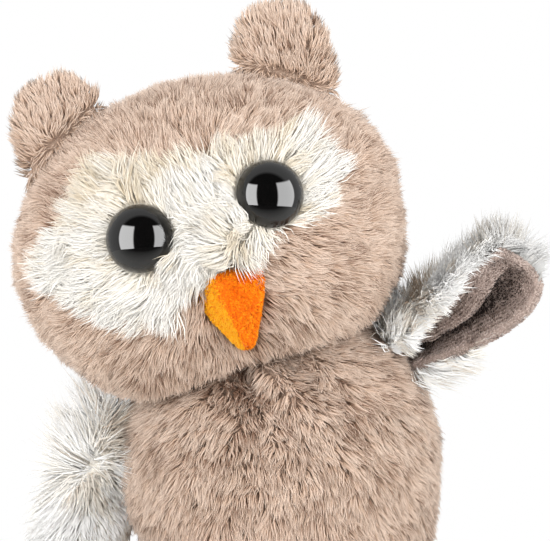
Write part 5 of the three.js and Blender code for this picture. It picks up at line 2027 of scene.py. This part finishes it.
class OWL_OT_fillings(bpy.types.Operator):
    """Make the fillings, the pellet pouch and the neck's roll and band inside the cloth"""

    bl_idname = "owl.fillings"
    bl_label = "Fillings and neck"

    def execute(self, context):
        looks = context.scene.owl_looks
        fibre = cloth_material("white_polyester_filling", linear("D9D5CB"), looks.filling, 1.1, 0.8, 0.3)
        for i, (node, name, body, voxel, lump) in enumerate(FILLINGS):
            mesh = filling_mesh(node, voxel, lump, FILLING_SEED + i)
            if node == "beak_stuffing":
                points = coordinates(mesh)
                middle = (points.min(0) + points.max(0)) / 2
                set_coordinates(mesh, middle + (points - middle) * BEAK_FILLING_SHARE)
            piece = carry(show(mesh, name, fibre), body, "fibre_filling", node)
        pouch = show(filling_mesh("pellet_pouch", *POUCH), "pellet_pouch_cloth", self.weave(looks))
        carry(pouch, "torso", "cotton_cloth", "pellet_pouch")
        band = filling_mesh("neck_seam_band", *NECK_BAND)
        ring = show(band, "neck_band_cloth", plain_cloth("taupe_plush_backing"))
        carry(ring, "neck_upper", "taupe_plush", "neck_seam_band")
        return {"FINISHED"}

    def weave(self, looks):
        """Plain-woven cotton, unbleached: threads 0.6 mm apart that cross over and under."""
        material, tree, shader = new_material("unbleached_woven_cotton", {"Roughness": 0.9, "IOR": 1.5})
        place = add_node(tree, "TexCoord").outputs["Object"]
        across, up = (
            add_node(
                tree, "TexWave",
                {"Vector": place, "Scale": 1 / THREAD_SPACING / WAVE_BANDS, "Distortion": 0.4},
                bands_direction=direction,
            ).outputs["Fac"]
            for direction in ("X", "Z")
        )
        over = add_node(tree, "Math", {0: across, 1: up}, operation="MAXIMUM").outputs[0]
        colour = stops_on(
            add_node(tree, "ValToRGB", {0: over}), [(0.2, linear("B7AD96")), (0.8, looks.cotton)],
        )
        bump = add_node(tree, "Bump", {"Strength": 0.6, "Distance": THREAD_BUMP, "Height": over})
        tree.links.new(colour.outputs[0], shader.inputs["Base Color"])
        tree.links.new(bump.outputs[0], shader.inputs["Normal"])
        return material


class OWL_OT_stage(bpy.types.Operator):
    """Set the pale floor, the white surround, the soft lamps and the camera"""

    bl_idname = "owl.stage"
    bl_label = "Stage"

    def execute(self, context):
        looks = context.scene.owl_looks
        self.floor(looks)
        self.surround(context.scene)
        for settings in LAMPS:
            self.lamp(*settings)
        self.camera(context.scene)
        context.scene.view_settings.view_transform = "Standard"
        return {"FINISHED"}

    def floor(self, looks):
        """A pale floor that takes the owl's shadow and fades to white at its edge for the camera."""
        bm = bmesh.new()
        bmesh.ops.create_circle(bm, cap_ends=True, segments=128, radius=FLOOR_RADIUS)
        piece = show(mesh_from(bm, "floor"), "floor", self.floor_material(looks))
        piece.location.z = -FLOOR_DROP

    def floor_material(self, looks):
        """Matt painted board: pale and even, white at its rim so no edge shows; before the owl, painted black
        in reflections.
        """
        colour = {"Base Color": (*looks.floor, 1), "Roughness": 0.9}
        material, tree, shader = new_material("matt_white_board", colour)
        place = add_node(tree, "TexCoord").outputs["Object"]
        path = add_node(tree, "LightPath")
        axes = add_node(tree, "SeparateXYZ", {0: place})
        front = add_node(
            tree, "MapRange",
            {"Value": axes.outputs["Y"], "From Min": -0.22, "From Max": -0.08, "To Min": 0.95, "To Max": 0.0},
        )
        # A painted reflection: before the owl the board turns black in mirrored rays, so glossy things mirror
        # a dark room.
        dark = add_node(
            tree, "Math", {0: front.outputs[0], 1: path.outputs["Is Glossy Ray"]}, operation="MULTIPLY",
        )
        black = add_node(tree, "Emission", {"Color": (0, 0, 0, 1), "Strength": 0.0})
        board = add_node(
            tree, "MixShader", {0: dark.outputs[0], 1: shader.outputs[0], 2: black.outputs[0]},
        )
        off = add_node(tree, "VectorMath", {0: place}, operation="LENGTH")
        fade = add_node(
            tree, "MapRange",
            {"Value": off.outputs["Value"], "From Min": 0.12, "From Max": 0.28, "To Min": 0.0, "To Max": 1.0},
        )
        share = add_node(
            tree, "Math", {0: fade.outputs[0], 1: path.outputs["Is Camera Ray"]}, operation="MULTIPLY",
        )
        white = add_node(tree, "Emission", {"Color": (1, 1, 1, 1), "Strength": 1.0})
        mixed = add_node(
            tree, "MixShader", {0: share.outputs[0], 1: board.outputs[0], 2: white.outputs[0]},
        )
        out = next(node for node in tree.nodes if node.bl_idname == "ShaderNodeOutputMaterial")
        tree.links.new(mixed.outputs[0], out.inputs["Surface"])
        return material

    def surround(self, scene):
        """A white surround for the camera; glossy things mirror two softboxes and the dark room in front."""
        world = bpy.data.worlds.new("studio")
        scene.world = world
        world.use_nodes = True
        tree = world.node_tree
        tree.nodes.clear()
        place = add_node(tree, "TexCoord")
        axes = add_node(tree, "SeparateXYZ", {0: place.outputs["Generated"]})
        room = add_node(
            tree, "MapRange",
            {"Value": axes.outputs["Y"], "From Min": -0.42, "From Max": -0.25, "To Min": 0.03,
             "To Max": ROOM_LEVEL},
        )
        ahead = add_node(tree, "Math", {0: axes.outputs["Y"], 1: -1.0}, operation="MULTIPLY")
        azimuth = add_node(tree, "Math", {0: axes.outputs["X"], 1: ahead.outputs[0]}, operation="ARCTAN2")
        rise = add_node(tree, "Math", {0: axes.outputs["Z"]}, operation="ARCSINE")
        total = room
        for left, right, low, high, strength in SOFTBOXES:
            across = self.window(tree, azimuth.outputs[0], left, right)
            up = self.window(tree, rise.outputs[0], low, high)
            box = add_node(tree, "Math", {0: across.outputs[0], 1: up.outputs[0]}, operation="MULTIPLY")
            bright = add_node(tree, "Math", {0: box.outputs[0], 1: strength}, operation="MULTIPLY")
            total = add_node(
                tree, "Math", {0: total.outputs[0], 1: bright.outputs[0]}, operation="MAXIMUM",
            )
        path = add_node(tree, "LightPath")
        seen = add_node(
            tree, "Math",
            {0: path.outputs["Is Glossy Ray"], 1: path.outputs["Is Transmission Ray"]}, operation="MAXIMUM",
        )
        mirrored = add_node(
            tree, "Mix", {0: seen.outputs[0], 2: ROOM_LEVEL, 3: total.outputs[0]}, data_type="FLOAT",
        )
        strength = add_node(
            tree, "Mix", {0: path.outputs["Is Camera Ray"], 2: mirrored.outputs[0], 3: 1.0},
            data_type="FLOAT",
        )
        back = add_node(tree, "Background", {"Color": (1, 1, 1, 1), "Strength": strength.outputs[0]})
        add_node(tree, "OutputWorld", {"Surface": back.outputs[0]})

    def window(self, tree, socket, low, high):
        """One between two angles in degrees and zero beyond them, with soft edges."""
        low, high = math.radians(low), math.radians(high)
        start, end = (low - SOFTBOX_EDGE, low + SOFTBOX_EDGE), (high - SOFTBOX_EDGE, high + SOFTBOX_EDGE)
        rise = add_node(tree, "MapRange", {"Value": socket, "From Min": start[0], "From Max": start[1]})
        fall = add_node(
            tree, "MapRange",
            {"Value": socket, "From Min": end[0], "From Max": end[1], "To Min": 1.0, "To Max": 0.0},
        )
        return add_node(tree, "Math", {0: rise.outputs[0], 1: fall.outputs[0]}, operation="MULTIPLY")

    def lamp(self, name, place, wide, high, watts):
        """One softbox that looks at the owl."""
        light = bpy.data.lights.new(name, "AREA")
        light.shape = "RECTANGLE"
        light.size, light.size_y = wide, high
        light.energy = watts
        piece = linked(name, light)
        piece.location = place
        piece.rotation_euler = (Vector(LAMP_TARGET) - Vector(place)).to_track_quat("-Z", "Y").to_euler()
        piece.visible_glossy = False

    def camera(self, scene):
        """A long lens level with the owl's face."""
        lens = bpy.data.cameras.new("camera")
        lens.sensor_fit = "HORIZONTAL"
        lens.sensor_width = SENSOR_WIDTH
        lens.lens = lens.sensor_width * CAMERA_DISTANCE / (FRAME_WIDE * METRES_PER_PIXEL)
        lens.clip_start, lens.clip_end = CAMERA_CLIPS
        piece = linked("camera", lens)
        piece.location = (FRAME_MIDDLE[0], -CAMERA_DISTANCE, FRAME_MIDDLE[1])
        piece.rotation_euler = (math.pi / 2, 0, 0)
        scene.camera = piece


class OWL_PT_panel(bpy.types.Panel):
    """Lists the owl's parts and its main sizes"""

    bl_idname = "OWL_PT_panel"
    bl_label = "Plush Owl"
    bl_space_type = "VIEW_3D"
    bl_region_type = "UI"
    bl_category = "Plush Owl"

    def draw(self, context):
        for operator in OPERATORS:
            self.layout.operator(operator.bl_idname)
        for group in (context.scene.owl_sizes, context.scene.owl_looks):
            for name in group.__annotations__:
                self.layout.prop(group, name)


OPERATORS = (
    OWL_OT_fillings, OWL_OT_body, OWL_OT_base, OWL_OT_head, OWL_OT_eyes, OWL_OT_beak, OWL_OT_ears,
    OWL_OT_wings, OWL_OT_feet, OWL_OT_stage,
)
CLASSES = (OwlSizes, OwlLooks, *OPERATORS, OWL_PT_panel)


def register():
    for one in CLASSES:
        bpy.utils.register_class(one)
    bpy.types.Scene.owl_sizes = PointerProperty(type=OwlSizes)
    bpy.types.Scene.owl_looks = PointerProperty(type=OwlLooks)


def unregister():
    del bpy.types.Scene.owl_looks
    del bpy.types.Scene.owl_sizes
    for one in reversed(CLASSES):
        bpy.utils.unregister_class(one)


def main():
    """Builds the owl and the stage."""
    register()
    bpy.ops.owl.fillings()
    bpy.ops.owl.body()
    bpy.ops.owl.base()
    bpy.ops.owl.head()
    bpy.ops.owl.eyes()
    bpy.ops.owl.beak()
    bpy.ops.owl.ears()
    bpy.ops.owl.wings()
    bpy.ops.owl.feet()
    bpy.ops.owl.stage()


if __name__ == "__main__":
    main()
